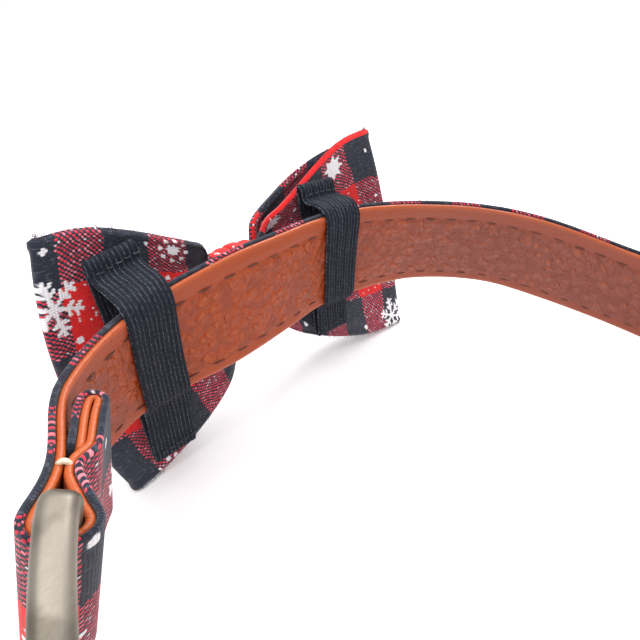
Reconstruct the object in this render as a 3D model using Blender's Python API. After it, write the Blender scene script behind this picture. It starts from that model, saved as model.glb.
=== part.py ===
"""Pet bow tie collar: a leather-lined plaid strap closed by a plain clasp, with a pinched cloth bow
held on it by two elastic loops. Blender 4.5, +Z up. Sizes below are millimetres and become metres
when a mesh is made. The bow's face looks along -Y and the neck opening lies behind it, at +Y."""

import math

import bmesh
import bpy
import numpy as np

MM = 0.001
SHARP_ANGLE = math.radians(45.0)

# Strap
STRAP_WIDTH = 20.0
LEATHER = 1.0
COVER = 1.0
GAP = 0.3

# Neck loop, seen from above, and how far the bow lifts its front off the floor
LOOP_ACROSS = 128.0
LOOP_DEEP = 128.0
LOOP_LIFT = 20.0
LOOP_LEAN = 19.0
STRAP_STEP = 4.0
STRAP_ROWS = 2

# Clasp and the strap ends folded round its bars
CLASP_LENGTH = 30.0
CLASP_BORDER = 3.2
CLASP_THICK = 3.4
CLASP_SLOT = 6.0
CLASP_BEVEL = 0.7
CLASP_CORNER = 3.0
HEM_START = 6.5
HEM_LENGTH = 9.5
FOLD_STEPS = 6

# Where a folded leg leaves the bar's wrap, in shares of the wrap's radius
SHOULDER_ALONG = 1.2
SHOULDER_ASIDE = 0.94

# Bow
BOW_LENGTH = 71.0
BOW_HEIGHT = 48.5
BOW_PINCH = 13.0
BOW_PINCH_RISE = 1.0
BOW_WALL = 1.0
BOW_PUFF = 7.4
BOW_SWEEP = 3.6
BOW_FOLD_DEPTH = 3.2
BOW_FOLDS = 2
BOW_TIP_ROUND = 0.11
BOW_FRONT_SHORT = 0.13
BOW_LEAN = 3.2
BOW_SPACING = 1.2
BOW_TIP_BLUNT = 0.5
BOW_AROUND = 72
BOW_ROWS = 14

# Knot, the band wound round the pinch
KNOT_WIDTH = 9.0
KNOT_WALL = 1.3
KNOT_CROWN = 0.6
KNOT_ROUND = 0.55
KNOT_AROUND = 32
KNOT_ROWS = 6

# Elastic loops on the back of the bow
ELASTIC_WIDTH = 8.0
ELASTIC_WALL = 1.0
ELASTIC_TAB = 3.5
ELASTIC_ROWS = 3

# The strap's centre line seen from above, counted from the bow, all in shares: across of LOOP_ACROSS,
# deep of LOOP_DEEP, lift of LOOP_LIFT above lying flat, lean of LOOP_LEAN (top edge inwards)
LOOP_COLUMNS = ("across", "deep", "lift", "lean")
LOOP_TABLE = (
    (0.081, 0.018, 1.018, 0.07),
    (0.213, 0.021, 0.973, 0.60),
    (0.311, 0.085, 0.981, 0.76),
    (0.358, 0.163, 0.930, 0.99),
    (0.399, 0.223, 0.946, 0.98),
    (0.448, 0.335, 0.695, 0.90),
    (0.472, 0.475, 0.380, 0.60),
    (0.452, 0.640, 0.120, 0.25),
    (0.368, 0.800, 0.000, 0.00),
    (0.220, 0.925, 0.000, 0.00),
    (-0.010, 0.985, 0.000, 0.00),
    (-0.240, 0.935, 0.000, 0.00),
    (-0.410, 0.800, 0.000, 0.00),
    (-0.505, 0.620, 0.000, 0.00),
    (-0.520, 0.440, 0.050, 0.40),
    (-0.488, 0.279, 0.262, 0.51),
    (-0.412, 0.168, 0.571, 0.59),
    (-0.358, 0.094, 0.703, 0.76),
    (-0.264, 0.035, 0.840, 0.79),
    (-0.164, 0.002, 0.922, 0.45),
    (-0.085, -0.001, 0.967, 0.36),
    (-0.018, 0.007, 0.990, 0.19),
)

# The clasp's middle lies this far past one row of the table
CLASP_ROW = 4
CLASP_SHIFT = 10.2

# The bow's side of the loop is where the strap is less deep than this share of LOOP_DEEP
BOW_SIDE = 0.3

# Half of the bow, from the pinch (out = 0) to the tip (out = 1): half height as a share of the way
# from the pinch to the full height, puff of BOW_PUFF between the layers, how far both layers sweep
# back as a share of BOW_SWEEP, fold of BOW_FOLD_DEPTH, rise of BOW_PINCH_RISE, and the share of its
# lower half's height that the wing away from the clasp lacks
BOW_COLUMNS = ("out", "height", "puff", "sweep", "fold", "rise", "short")
BOW_TABLE = (
    (0.00, 0.000, 0.22, 0.00, 1.00, 1.00, 0.00),
    (0.16, 0.000, 0.22, 0.00, 1.00, 1.00, 0.00),
    (0.21, 0.330, 0.62, 0.08, 0.72, 0.80, 0.08),
    (0.31, 0.490, 0.92, 0.17, 0.40, 0.40, 0.05),
    (0.41, 0.610, 1.00, 0.19, 0.22, 0.15, 0.03),
    (0.51, 0.720, 1.04, 0.20, 0.14, 0.05, 0.02),
    (0.62, 0.825, 1.00, 0.27, 0.10, 0.00, 0.01),
    (0.78, 0.945, 0.80, 0.55, 0.06, 0.00, 0.00),
    (0.89, 0.985, 0.62, 0.84, 0.03, 0.00, 0.00),
    (1.00, 1.000, 0.46, 1.20, 0.00, 0.00, 0.00),
)

# How far the lower corner of the wing away from the clasp flares out past its upper corner
WING_FLARE = 8.0

# Elastic loops: middle as a share of half the bow's length, rise above the strap's top edge, drop below its bottom edge
ELASTIC_COLUMNS = ("node", "middle", "rise", "drop")
ELASTIC_TABLE = (
    ("elastic_left", 0.664, 4.7, 14.0),
    ("elastic_right", -0.454, 3.8, 8.0),
)

# Colour, roughness and metallic value of each material
FINISHES = {
    "leather": ((0.45, 0.16, 0.06), 0.5, 0.0),
    "plaid": ((0.42, 0.03, 0.04), 0.85, 0.0),
    "elastic": ((0.02, 0.025, 0.035), 0.8, 0.0),
    "metal": ((0.62, 0.60, 0.56), 0.35, 1.0),
}


def column(table, columns, name):
    """One named column of a table as an array."""
    return np.array([row[columns.index(name)] for row in table], float)


def elastic_spread():
    """Places across an elastic band, counted from its middle."""
    return np.linspace(-0.5, 0.5, ELASTIC_ROWS) * ELASTIC_WIDTH


def hermite(left, right, slope_left, slope_right, share):
    """Smooth step from one value to the next with given slopes at both."""
    two, three = share * share, share * share * share
    return (
        left * (2 * three - 3 * two + 1)
        + slope_left * (three - 2 * two + share)
        + right * (3 * two - 2 * three)
        + slope_right * (three - two)
    )


def calm_slopes(places, values):
    """Slopes of a curve through the given places that never swings past their values."""
    steps = np.diff(values) / np.diff(places)
    both = steps[:-1] * steps[1:]
    total = np.where(both > 0.0, steps[:-1] + steps[1:], 1.0)
    inner = np.where(both > 0.0, 2.0 * both / total, 0.0)
    return np.concatenate((steps[:1], inner, steps[-1:]))


def open_curve(places, values, at):
    """Value at one place on the smooth curve through the given places."""
    at = min(max(at, places[0]), places[-1])
    step = int(np.clip(np.searchsorted(places, at) - 1, 0, len(places) - 2))
    width = places[step + 1] - places[step]
    slopes = calm_slopes(places, values)
    share = (at - places[step]) / width
    return hermite(values[step], values[step + 1], slopes[step] * width, slopes[step + 1] * width, share)


def closed_curve(values, turn):
    """Value on the smooth closed curve through the rows, where turn counts rows."""
    count = len(values)
    row = int(math.floor(turn))
    before, here, after, beyond = (values[(row + k) % count] for k in (-1, 0, 1, 2))
    return hermite(here, after, (after - before) / 2, (beyond - here) / 2, turn - row)


class StrapLine:
    """The closed centre line of the strap, read by its length from the middle of the clasp."""

    samples_per_row = 24
    tangent_step = 0.05

    def __init__(self):
        self.across = column(LOOP_TABLE, LOOP_COLUMNS, "across") * LOOP_ACROSS
        self.deep = column(LOOP_TABLE, LOOP_COLUMNS, "deep") * LOOP_DEEP
        self.lift = column(LOOP_TABLE, LOOP_COLUMNS, "lift") * LOOP_LIFT
        self.lean = column(LOOP_TABLE, LOOP_COLUMNS, "lean") * LOOP_LEAN
        rows = len(LOOP_TABLE)
        self.turns = CLASP_ROW + np.linspace(0.0, rows, rows * self.samples_per_row + 1)
        places = np.array([self.place(turn) for turn in self.turns])
        steps = np.linalg.norm(np.diff(places, axis=0), axis=1)
        self.lengths = np.concatenate(([0.0], np.cumsum(steps)))
        self.length = self.lengths[-1]
        self.places = places

    def place(self, turn):
        """Point of the centre line in plan and height, never lower than the strap lies on the floor."""
        height = STRAP_WIDTH / 2 + max(0.0, closed_curve(self.lift, turn))
        return np.array([closed_curve(self.across, turn), closed_curve(self.deep, turn), height])

    def frame(self, along):
        """Point, inward direction and upward direction across the strap at a length along it."""
        along = (along + CLASP_SHIFT) % self.length
        turn = float(np.interp(along, self.lengths, self.turns))
        ahead, behind = self.place(turn + self.tangent_step), self.place(turn - self.tangent_step)
        run = ahead - behind
        inward = np.array([-run[1], run[0], 0.0]) / math.hypot(run[0], run[1])
        lean = math.radians(max(0.0, closed_curve(self.lean, turn)))
        up = np.array([0.0, 0.0, 1.0])
        tall = up * math.cos(lean) + inward * math.sin(lean)
        deep = inward * math.cos(lean) - up * math.sin(lean)
        return self.place(turn), deep, tall

    def point(self, along, inside, height):
        """World point at a length along, a depth to the inside and a height across the strap."""
        middle, deep, tall = self.frame(along)
        return middle + deep * inside + tall * height

    def along_at(self, across):
        """Length along the line where its bow side crosses a given place along the bow."""
        near = self.places[:, 1] < LOOP_DEEP * BOW_SIDE
        gap = np.where(near, np.abs(self.places[:, 0] - across), np.inf)
        return float(self.lengths[int(np.argmin(gap))] - CLASP_SHIFT)


def arc(middle, radius, start, end, steps):
    """Points on an arc in the plan of a fold, angles in degrees."""
    angles = np.radians(np.linspace(start, end, steps + 1))
    return [(middle[0] + radius * math.cos(a), middle[1] + radius * math.sin(a)) for a in angles]


def stepped(profile, step):
    """The profile with extra points, so that no straight run of it is longer than a step."""
    points = [profile[0]]
    for one, two in zip(profile, profile[1:]):
        parts = max(1, math.ceil(math.dist(one, two) / step))
        for part in range(1, parts + 1):
            share = part / parts
            points.append(tuple(a + (b - a) * share for a, b in zip(one, two)))
    return points


def strap_profile(length):
    """The seam between lining and cover from one hemmed end round to the other, seen from above: each
    point is (length along, depth to the inside). Both ends wrap a bar of the clasp and are hemmed."""
    layer = LEATHER + COVER + GAP
    bar = CLASP_LENGTH / 2 - CLASP_BORDER / 2
    wrap = math.hypot(CLASP_BORDER / 2, CLASP_THICK / 2) - CLASP_BEVEL / 2 + GAP + LEATHER + GAP / 2
    tail = layer + GAP
    hairpin = LEATHER + GAP
    back = tail + 2 * hairpin
    start = bar + HEM_START
    end = start + HEM_LENGTH
    middle = back / 2
    first = [(start, tail), (end, tail)]
    first += arc((end, tail + hairpin), hairpin, -90.0, 90.0, FOLD_STEPS)[1:]
    along, aside = bar + wrap * SHOULDER_ALONG, wrap * SHOULDER_ASIDE
    first += [(start, back), (along, middle + aside)]
    first += arc((bar, middle), wrap, 90.0, 270.0, 2 * FOLD_STEPS)
    first += [(along, middle - aside), (start, 0.0)]
    last = [(length - place, inside) for place, inside in reversed(first)]
    return stepped(first + last, STRAP_STEP)


def offset_profile(profile, left):
    """The profile moved sideways, to its left when left is positive."""
    points = np.array(profile)
    runs = np.diff(points, axis=0)
    sides = np.column_stack((-runs[:, 1], runs[:, 0])) / np.linalg.norm(runs, axis=1)[:, None]
    ends = np.vstack((sides[:1], sides))
    starts = np.vstack((sides, sides[-1:]))
    joint = ends + starts
    mitre = 2.0 / np.sum(joint * joint, axis=1)
    return points + joint * mitre[:, None] * left


def new_object(name, verts, faces, finish):
    """A named mesh object with its material, from points in millimetres."""
    mesh = bpy.data.meshes.new(name)
    mesh.from_pydata([tuple(float(c) * MM for c in v) for v in verts], [], faces)
    shape = bmesh.new()
    shape.from_mesh(mesh)
    bmesh.ops.recalc_face_normals(shape, faces=shape.faces[:])
    shape.to_mesh(mesh)
    shape.free()
    mesh.shade_smooth()
    mesh.set_sharp_from_angle(angle=SHARP_ANGLE)
    thing = bpy.data.objects.new(name, mesh)
    bpy.context.collection.objects.link(thing)
    mesh.materials.append(material(finish))
    return thing


def material(finish):
    """The Principled material of a named finish, made once."""
    made = bpy.data.materials.get(finish)
    if made:
        return made
    colour, roughness, metallic = FINISHES[finish]
    made = bpy.data.materials.new(finish)
    made.use_nodes = True
    shader = made.node_tree.nodes["Principled BSDF"]
    shader.inputs["Base Color"].default_value = (*colour, 1.0)
    shader.inputs["Roughness"].default_value = roughness
    shader.inputs["Metallic"].default_value = metallic
    return made


def strip_faces(stations, rows):
    """Triangles of an open band swept through stations, each with one wall's points from low to high
    and the other's from high to low. Both walls split the same way, so that nested bands stay apart."""
    corners = 2 * (rows + 1)
    faces = []
    for station in range(stations - 1):
        here, there = station * corners, (station + 1) * corners
        for corner in range(corners):
            side = (corner + 1) % corners
            if corner <= rows:
                faces.append((here + corner, there + corner, there + side))
                faces.append((here + corner, there + side, here + side))
            else:
                faces.append((here + corner, there + corner, here + side))
                faces.append((there + corner, there + side, here + side))
    last = (stations - 1) * corners
    faces.append(tuple(range(corners)))
    faces.append(tuple(last + corner for corner in reversed(range(corners))))
    return faces


def build_strap_layer(name, line, near, far, finish):
    """One layer of the strap between two offsets from the seam of the profile."""
    profile = strap_profile(line.length)
    low, high = offset_profile(profile, near), offset_profile(profile, far)
    heights = np.linspace(-0.5, 0.5, STRAP_ROWS + 1) * STRAP_WIDTH
    verts = []
    for one, two in zip(low, high):
        verts += [line.point(one[0], one[1], height) for height in heights]
        verts += [line.point(two[0], two[1], height) for height in reversed(heights)]
    return new_object(name, verts, strip_faces(len(profile), STRAP_ROWS), finish)


def build_clasp(line):
    """A plain curved plate with a slot near each end, so that its ends are the bars for the strap."""
    half_length = CLASP_LENGTH / 2
    half_height = STRAP_WIDTH / 2 + 2 * GAP + CLASP_BORDER
    along = [-half_length, CLASP_BORDER - half_length, CLASP_BORDER + CLASP_SLOT - half_length]
    thirds = [share * along[2] for share in (1 / 3, -1 / 3)]
    along += thirds + [-x for x in reversed(along)]
    tall = [-half_height, CLASP_BORDER - half_height, half_height - CLASP_BORDER, half_height]
    slots = {(1, 1), (len(along) - 3, 1)}
    shape = bmesh.new()
    grid = [[shape.verts.new((x, -CLASP_THICK / 2, z)) for z in tall] for x in along]
    for i in range(len(along) - 1):
        for j in range(len(tall) - 1):
            if (i, j) not in slots:
                shape.faces.new((grid[i][j], grid[i + 1][j], grid[i + 1][j + 1], grid[i][j + 1]))
    raised = bmesh.ops.extrude_face_region(shape, geom=shape.faces[:])
    lifted = [v for v in raised["geom"] if isinstance(v, bmesh.types.BMVert)]
    bmesh.ops.translate(shape, verts=lifted, vec=(0.0, CLASP_THICK, 0.0))
    bmesh.ops.recalc_face_normals(shape, faces=shape.faces[:])
    tips = [e for e in shape.edges if is_corner(e, half_length, half_height)]
    bmesh.ops.bevel(shape, geom=tips, offset=CLASP_CORNER, segments=3, profile=0.5, affect="EDGES")
    rims = [e for e in shape.edges if e.calc_face_angle(0.0) > SHARP_ANGLE]
    bmesh.ops.bevel(shape, geom=rims, offset=CLASP_BEVEL, segments=2, profile=0.5, affect="EDGES")
    bmesh.ops.triangulate(shape, faces=shape.faces[:])
    middle = clasp_depth()
    verts = [line.point(v.co.x, v.co.y + middle, v.co.z) for v in shape.verts]
    shape.verts.index_update()
    faces = [tuple(v.index for v in f.verts) for f in shape.faces]
    shape.free()
    return new_object("clasp", verts, faces, "metal")


def is_corner(edge, half_length, half_height):
    """Whether an edge is one of the plate's four upright outer corners."""
    tolerance = 1e-4
    return all(
        abs(abs(v.co.x) - half_length) < tolerance and abs(abs(v.co.z) - half_height) < tolerance
        for v in edge.verts
    )


def clasp_depth():
    """Depth of the clasp's middle inside the strap's seam, half way between the folded layers."""
    return (LEATHER + COVER + 2 * GAP + 2 * (LEATHER + GAP)) / 2


class BowShape:
    """The cloth of the bow as one closed surface, in its own upright frame round the pinch."""

    def __init__(self):
        self.out = column(BOW_TABLE, BOW_COLUMNS, "out")
        self.columns = {name: column(BOW_TABLE, BOW_COLUMNS, name) for name in BOW_COLUMNS[1:]}

    def share(self, name, out):
        """One column of the bow's table at a share of the way out."""
        return open_curve(self.out, self.columns[name], abs(out))

    def middle(self, out, layer, rise):
        """Point of the cloth's middle surface: out from -1 to 1 along the bow, layer from -1 for the
        front to 1 for the back, rise from -1 at the bottom rim to 1 at the top rim."""
        full, pinched = BOW_HEIGHT / 2, BOW_PINCH / 2
        half = pinched + (full - pinched) * self.share("height", out)
        half *= 1.0 - BOW_FRONT_SHORT * max(0.0, -layer)
        if out < 0.0 and rise < 0.0:
            half *= 1.0 + rise * self.share("short", out)
        wave = math.sin(math.pi * BOW_FOLDS * rise)
        depth = layer * BOW_PUFF / 2 * self.share("puff", out) + BOW_SWEEP * self.share("sweep", out)
        depth += BOW_FOLD_DEPTH / 2 * self.share("fold", out) * wave
        height = rise * half + BOW_PINCH_RISE * self.share("rise", out)
        return np.array([out * self.reach(out, rise), depth, height])

    def reach(self, out, rise):
        """How far the cloth reaches from the pinch at one height, on the side that out points to."""
        reach = BOW_LENGTH / 2 * (1.0 - BOW_TIP_ROUND * rise * rise)
        return reach + (WING_FLARE * ((1.0 - rise) / 2) ** 2.5 if out < 0.0 else 0.0)

    def grid(self):
        """The middle surface as a closed ring of columns, front layer then back layer."""
        columns = []
        for step in range(BOW_AROUND):
            angle = 2 * math.pi * (step + 0.5) / BOW_AROUND
            out = math.copysign(abs(math.cos(angle)) ** BOW_SPACING, math.cos(angle))
            layer = -math.copysign(abs(math.sin(angle)) ** BOW_TIP_BLUNT, math.sin(angle))
            rises = np.linspace(-1.0, 1.0, BOW_ROWS + 1)
            columns.append([self.middle(out, layer, rise) for rise in rises])
        return np.array(columns)

    def back_depth(self, across):
        """How far back the cloth reaches over its whole height at a place along the bow."""
        depths = []
        for rise in np.linspace(-1.0, 1.0, 4 * BOW_ROWS + 1):
            depths.append(self.middle(across / self.reach(across, rise), 1.0, rise)[1])
        return max(depths) + BOW_WALL / 2

    def pinch_depth(self):
        """Half of the room that the folded cloth takes from front to back under the knot."""
        return BOW_PUFF / 2 * self.share("puff", 0.0) + BOW_FOLD_DEPTH / 2 + BOW_WALL / 2


class BowPlace:
    """Where the bow stands: it leans forwards, rests on its lower rims and touches the strap."""

    def __init__(self, line, shape):
        self.lean = math.radians(BOW_LEAN)
        self.knot_deep = shape.pinch_depth() + GAP + KNOT_WALL + KNOT_CROWN
        lowest = self.lowest(shape)
        self.z = -lowest
        rooms = [self.room(line, 0.0, self.knot_deep + GAP)]
        middles = column(ELASTIC_TABLE, ELASTIC_COLUMNS, "middle") * BOW_LENGTH / 2
        for across in (middles[:, None] + elastic_spread()).flat:
            depth = shape.back_depth(across) + ELASTIC_WALL + 3 * GAP
            rooms.append(self.room(line, across, depth))
        self.y = min(rooms)

    def room(self, line, across, depth):
        """Greatest Y of the bow's middle that leaves the depth free behind it at one place."""
        along = line.along_at(across)
        places = [line.point(along, -COVER - GAP / 2, side * STRAP_WIDTH / 2) for side in (-1, 0, 1)]
        return min(
            p[1] - (depth - (p[2] - self.z) * math.sin(self.lean)) / math.cos(self.lean) for p in places
        )

    def lowest(self, shape):
        """Lowest point of the leaning cloth below the bow's middle."""
        return min(self.turned(v)[2] for layer in bow_layers(shape) for v in layer.reshape(-1, 3))

    def turned(self, local):
        """A point of the bow's own frame leaned forwards about its middle."""
        x, y, z = local
        cos, sin = math.cos(self.lean), math.sin(self.lean)
        return np.array([x, y * cos - z * sin, z * cos + y * sin])

    def world(self, local):
        """A point of the bow's own frame where the bow stands."""
        return self.turned(local) + np.array([0.0, self.y, self.z])

    def local(self, world):
        """A standing point back in the bow's own frame."""
        cos, sin = math.cos(self.lean), math.sin(self.lean)
        y, z = world[1] - self.y, world[2] - self.z
        return np.array([world[0], y * cos + z * sin, z * cos - y * sin])


def bow_layers(shape):
    """Outer and inner surface of the bow's cloth, half a wall each side of its middle surface."""
    grid = shape.grid()
    around = np.roll(grid, -1, axis=0) - np.roll(grid, 1, axis=0)
    rising = np.gradient(grid, axis=1)
    normal = np.cross(around, rising)
    normal /= np.linalg.norm(normal, axis=2)[:, :, None]
    return grid + normal * BOW_WALL / 2, grid - normal * BOW_WALL / 2


def tube_of_cloth(name, outer, inner, finish):
    """A closed ring of cloth from the grids of its two surfaces, rims closed between them."""
    around, rows = outer.shape[:2]
    verts = np.concatenate((outer.reshape(-1, 3), inner.reshape(-1, 3)))
    half = around * rows
    faces = []
    for i in range(around):
        here, there = i * rows, ((i + 1) % around) * rows
        for j in range(rows - 1):
            faces.append((here + j, there + j, there + j + 1, here + j + 1))
            faces.append((half + here + j, half + here + j + 1, half + there + j + 1, half + there + j))
        top = rows - 1
        faces.append((here, half + here, half + there, there))
        faces.append((here + top, there + top, half + there + top, half + here + top))
    return new_object(name, verts, faces, finish)


def build_bow_band(shape, place):
    """The pinched double layer of the bow, open along its top and bottom rims."""
    outer, inner = bow_layers(shape)
    outer = np.array([[place.world(v) for v in col] for col in outer])
    inner = np.array([[place.world(v) for v in col] for col in inner])
    return tube_of_cloth("bow_band", outer, inner, "plaid")


def rounded_box_path(half_deep, half_tall, corner, count):
    """Closed path of a rounded box seen along X, as points and outward directions."""
    straight_deep, straight_tall = 2 * (half_deep - corner), 2 * (half_tall - corner)
    quarter = math.pi * corner / 2
    total = 2 * (straight_deep + straight_tall) + 4 * quarter
    path = []
    for step in range(count):
        walk = total * step / count
        for side in range(4):
            straight = straight_deep if side % 2 else straight_tall
            turn = math.pi / 2 * side
            corner_y = (half_deep - corner) * (1, -1, -1, 1)[side]
            corner_z = (half_tall - corner) * (1, 1, -1, -1)[side]
            if walk <= straight:
                away = np.array([math.cos(turn), math.sin(turn)])
                along = np.array([-math.sin(turn), math.cos(turn)])
                place = np.array([corner_y, corner_z]) + away * corner - along * (straight - walk)
                path.append((place, away))
                break
            walk -= straight
            if walk <= quarter:
                angle = turn + walk / corner
                away = np.array([math.cos(angle), math.sin(angle)])
                path.append((np.array([corner_y, corner_z]) + away * corner, away))
                break
            walk -= quarter
    return path


def build_bow_knot(shape, place):
    """The crowned band wound round the pinch of the bow."""
    half_deep = shape.pinch_depth() + GAP
    half_tall = BOW_PINCH / 2 + BOW_WALL / 2 + GAP
    path = rounded_box_path(half_deep, half_tall, half_deep * KNOT_ROUND, KNOT_AROUND)
    outer, inner = [], []
    for spot, away in path:
        outer_column, inner_column = [], []
        for share in np.linspace(-1.0, 1.0, KNOT_ROWS + 1):
            x = share * KNOT_WIDTH / 2
            crown = KNOT_WALL + KNOT_CROWN * (1.0 - share * share)
            near, far = spot, spot + away * crown
            inner_column.append(place.world((x, near[0], near[1] + BOW_PINCH_RISE)))
            outer_column.append(place.world((x, far[0], far[1] + BOW_PINCH_RISE)))
        outer.append(outer_column)
        inner.append(inner_column)
    return tube_of_cloth("bow_knot", np.array(outer), np.array(inner), "plaid")


def elastic_path(line, shape, place, across, band, rise, drop):
    """Closed path of one edge of an elastic loop's middle surface in the bow's frame: up the back of
    the bow, round a sewn tab, over the strap's top edge, down its lining and back under it."""
    along = line.along_at(across)
    inner, outer = LEATHER + GAP / 2, -COVER - GAP / 2
    half = STRAP_WIDTH / 2
    stand = GAP + ELASTIC_WALL / 2

    def strap(inside, height):
        """A point beside the strap in the bow's frame."""
        return place.local(line.point(along, inside, height))

    back = shape.back_depth(band) + stand
    bend = (ELASTIC_WALL + GAP) / 2
    front = back + 2 * bend
    top_outer, low_outer = strap(outer - stand, half + stand), strap(outer - stand, -half - stand)
    top, bottom = top_outer[2] + rise, low_outer[2] - drop
    tab_low, tab_top = bottom + bend, top - bend
    path = [(across, back, height) for height in np.linspace(tab_low, tab_top, FOLD_STEPS)[1:-1]]
    path += [(across, y, z) for y, z in arc((back + bend, tab_top), bend, 180.0, 0.0, FOLD_STEPS)]
    path.append((across, front, max(top - ELASTIC_TAB, top_outer[2] + bend)))
    path.append(strap(outer, half + stand))
    path.append(strap(inner, half + stand))
    path.append(strap(inner + stand, half))
    path.append(strap(inner + stand, 0.0))
    path.append(strap(inner + stand, -half))
    path.append(strap(inner, -half - stand))
    path.append(strap(outer, -half - stand))
    path.append((across, front, min(bottom + ELASTIC_TAB, low_outer[2] - bend)))
    path += [(across, y, z) for y, z in arc((back + bend, tab_low), bend, 0.0, -180.0, FOLD_STEPS)]
    return np.array([tuple(p) for p in path])


def build_elastic(line, shape, place, node, middle, rise, drop):
    """One elastic loop: a flat band sewn to the back of the bow and passed round the strap."""
    places = middle * BOW_LENGTH / 2 + elastic_spread()
    band = max(places, key=shape.back_depth)
    outer, inner = [], []
    for across in places:
        path = elastic_path(line, shape, place, across, band, rise, drop)
        runs = (np.roll(path, -1, axis=0) - path)[:, 1:]
        sides = np.column_stack((-runs[:, 1], runs[:, 0])) / np.linalg.norm(runs, axis=1)[:, None]
        joint = sides + np.roll(sides, 1, axis=0)
        mitre = joint * (2.0 / np.sum(joint * joint, axis=1))[:, None] * ELASTIC_WALL / 2
        push = np.column_stack((np.zeros(len(path)), mitre))
        outer.append([place.world(p) for p in path + push])
        inner.append([place.world(p) for p in path - push])
    outer, inner = np.array(outer).swapaxes(0, 1), np.array(inner).swapaxes(0, 1)
    return tube_of_cloth(node, outer, inner, "elastic")


def stand_on_origin(things):
    """Move every mesh so that the whole stands on the origin, centred over it."""
    corners = np.array([v.co[:] for thing in things for v in thing.data.vertices])
    low, high = corners.min(axis=0), corners.max(axis=0)
    shift = (-(low[0] + high[0]) / 2, -(low[1] + high[1]) / 2, -low[2])
    for thing in things:
        for vertex in thing.data.vertices:
            vertex.co = [c + s for c, s in zip(vertex.co, shift)]


def main():
    """Build every piece of the collar."""
    for old in list(bpy.data.objects):
        bpy.data.objects.remove(old, do_unlink=True)
    line, shape = StrapLine(), BowShape()
    place = BowPlace(line, shape)
    seam = GAP / 2
    things = [
        build_strap_layer("strap_lining", line, seam, seam + LEATHER, "leather"),
        build_strap_layer("strap_cover", line, -seam - COVER, -seam, "plaid"),
        build_clasp(line),
        build_bow_band(shape, place),
        build_bow_knot(shape, place),
    ]
    for row in ELASTIC_TABLE:
        things.append(build_elastic(line, shape, place, **dict(zip(ELASTIC_COLUMNS, row))))
    stand_on_origin(things)


main()
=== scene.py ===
"""Looks of the pet bow tie collar: leather, woven cloth, elastic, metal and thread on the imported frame.

Shapes repeat the part's solids in millimetres and are made metres when a mesh is made. Each soft
piece carries a UV map in millimetres, so that weave, grain, print and ribs keep their real size.
"""

import logging
import math
from dataclasses import dataclass, field
from enum import Enum

import bmesh
import bpy
import numpy as np
from mathutils import Matrix, Vector


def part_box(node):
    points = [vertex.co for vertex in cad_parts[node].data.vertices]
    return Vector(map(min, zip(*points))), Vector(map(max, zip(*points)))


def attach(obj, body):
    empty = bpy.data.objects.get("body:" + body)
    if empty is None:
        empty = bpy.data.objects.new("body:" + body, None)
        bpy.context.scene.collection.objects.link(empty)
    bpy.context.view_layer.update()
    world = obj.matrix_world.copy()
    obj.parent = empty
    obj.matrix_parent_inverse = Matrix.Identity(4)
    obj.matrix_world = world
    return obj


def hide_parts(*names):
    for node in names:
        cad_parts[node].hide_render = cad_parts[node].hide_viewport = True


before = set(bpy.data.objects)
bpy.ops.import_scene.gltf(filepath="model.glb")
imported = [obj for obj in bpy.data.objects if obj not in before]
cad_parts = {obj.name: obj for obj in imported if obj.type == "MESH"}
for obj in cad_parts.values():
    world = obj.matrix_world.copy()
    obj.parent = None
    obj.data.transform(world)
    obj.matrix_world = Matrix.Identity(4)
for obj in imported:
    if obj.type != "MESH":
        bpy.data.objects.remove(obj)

LOG = logging.getLogger("collar")
MM = 0.001
UV_NAME = "surface_mm"
Array = np.ndarray
Colour = tuple[float, float, float]

# The strap's centre line seen from above: across, deep, lift and lean, each a share of its full size
LOOP_ROWS = (
    (0.081, 0.018, 1.018, 0.07),
    (0.213, 0.021, 0.973, 0.60),
    (0.311, 0.085, 0.981, 0.76),
    (0.358, 0.163, 0.930, 0.99),
    (0.399, 0.223, 0.946, 0.98),
    (0.448, 0.335, 0.695, 0.90),
    (0.472, 0.475, 0.380, 0.60),
    (0.452, 0.640, 0.120, 0.25),
    (0.368, 0.800, 0.000, 0.00),
    (0.220, 0.925, 0.000, 0.00),
    (-0.010, 0.985, 0.000, 0.00),
    (-0.240, 0.935, 0.000, 0.00),
    (-0.410, 0.800, 0.000, 0.00),
    (-0.505, 0.620, 0.000, 0.00),
    (-0.520, 0.440, 0.050, 0.40),
    (-0.488, 0.279, 0.262, 0.51),
    (-0.412, 0.168, 0.571, 0.59),
    (-0.358, 0.094, 0.703, 0.76),
    (-0.264, 0.035, 0.840, 0.79),
    (-0.164, 0.002, 0.922, 0.45),
    (-0.085, -0.001, 0.967, 0.36),
    (-0.018, 0.007, 0.990, 0.19),
)

# Half of the bow from pinch to tip: out, half height, puff, sweep, fold, rise and what the right wing
# lacks below
BOW_ROWS = (
    (0.00, 0.000, 0.22, 0.00, 1.00, 1.00, 0.00),
    (0.16, 0.000, 0.22, 0.00, 1.00, 1.00, 0.00),
    (0.21, 0.330, 0.62, 0.08, 0.72, 0.80, 0.08),
    (0.31, 0.490, 0.92, 0.17, 0.40, 0.40, 0.05),
    (0.41, 0.610, 1.00, 0.19, 0.22, 0.15, 0.03),
    (0.51, 0.720, 1.04, 0.20, 0.14, 0.05, 0.02),
    (0.62, 0.825, 1.00, 0.27, 0.10, 0.00, 0.01),
    (0.78, 0.945, 0.80, 0.55, 0.06, 0.00, 0.00),
    (0.89, 0.985, 0.62, 0.84, 0.03, 0.00, 0.00),
    (1.00, 1.000, 0.46, 1.20, 0.00, 0.00, 0.00),
)


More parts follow.
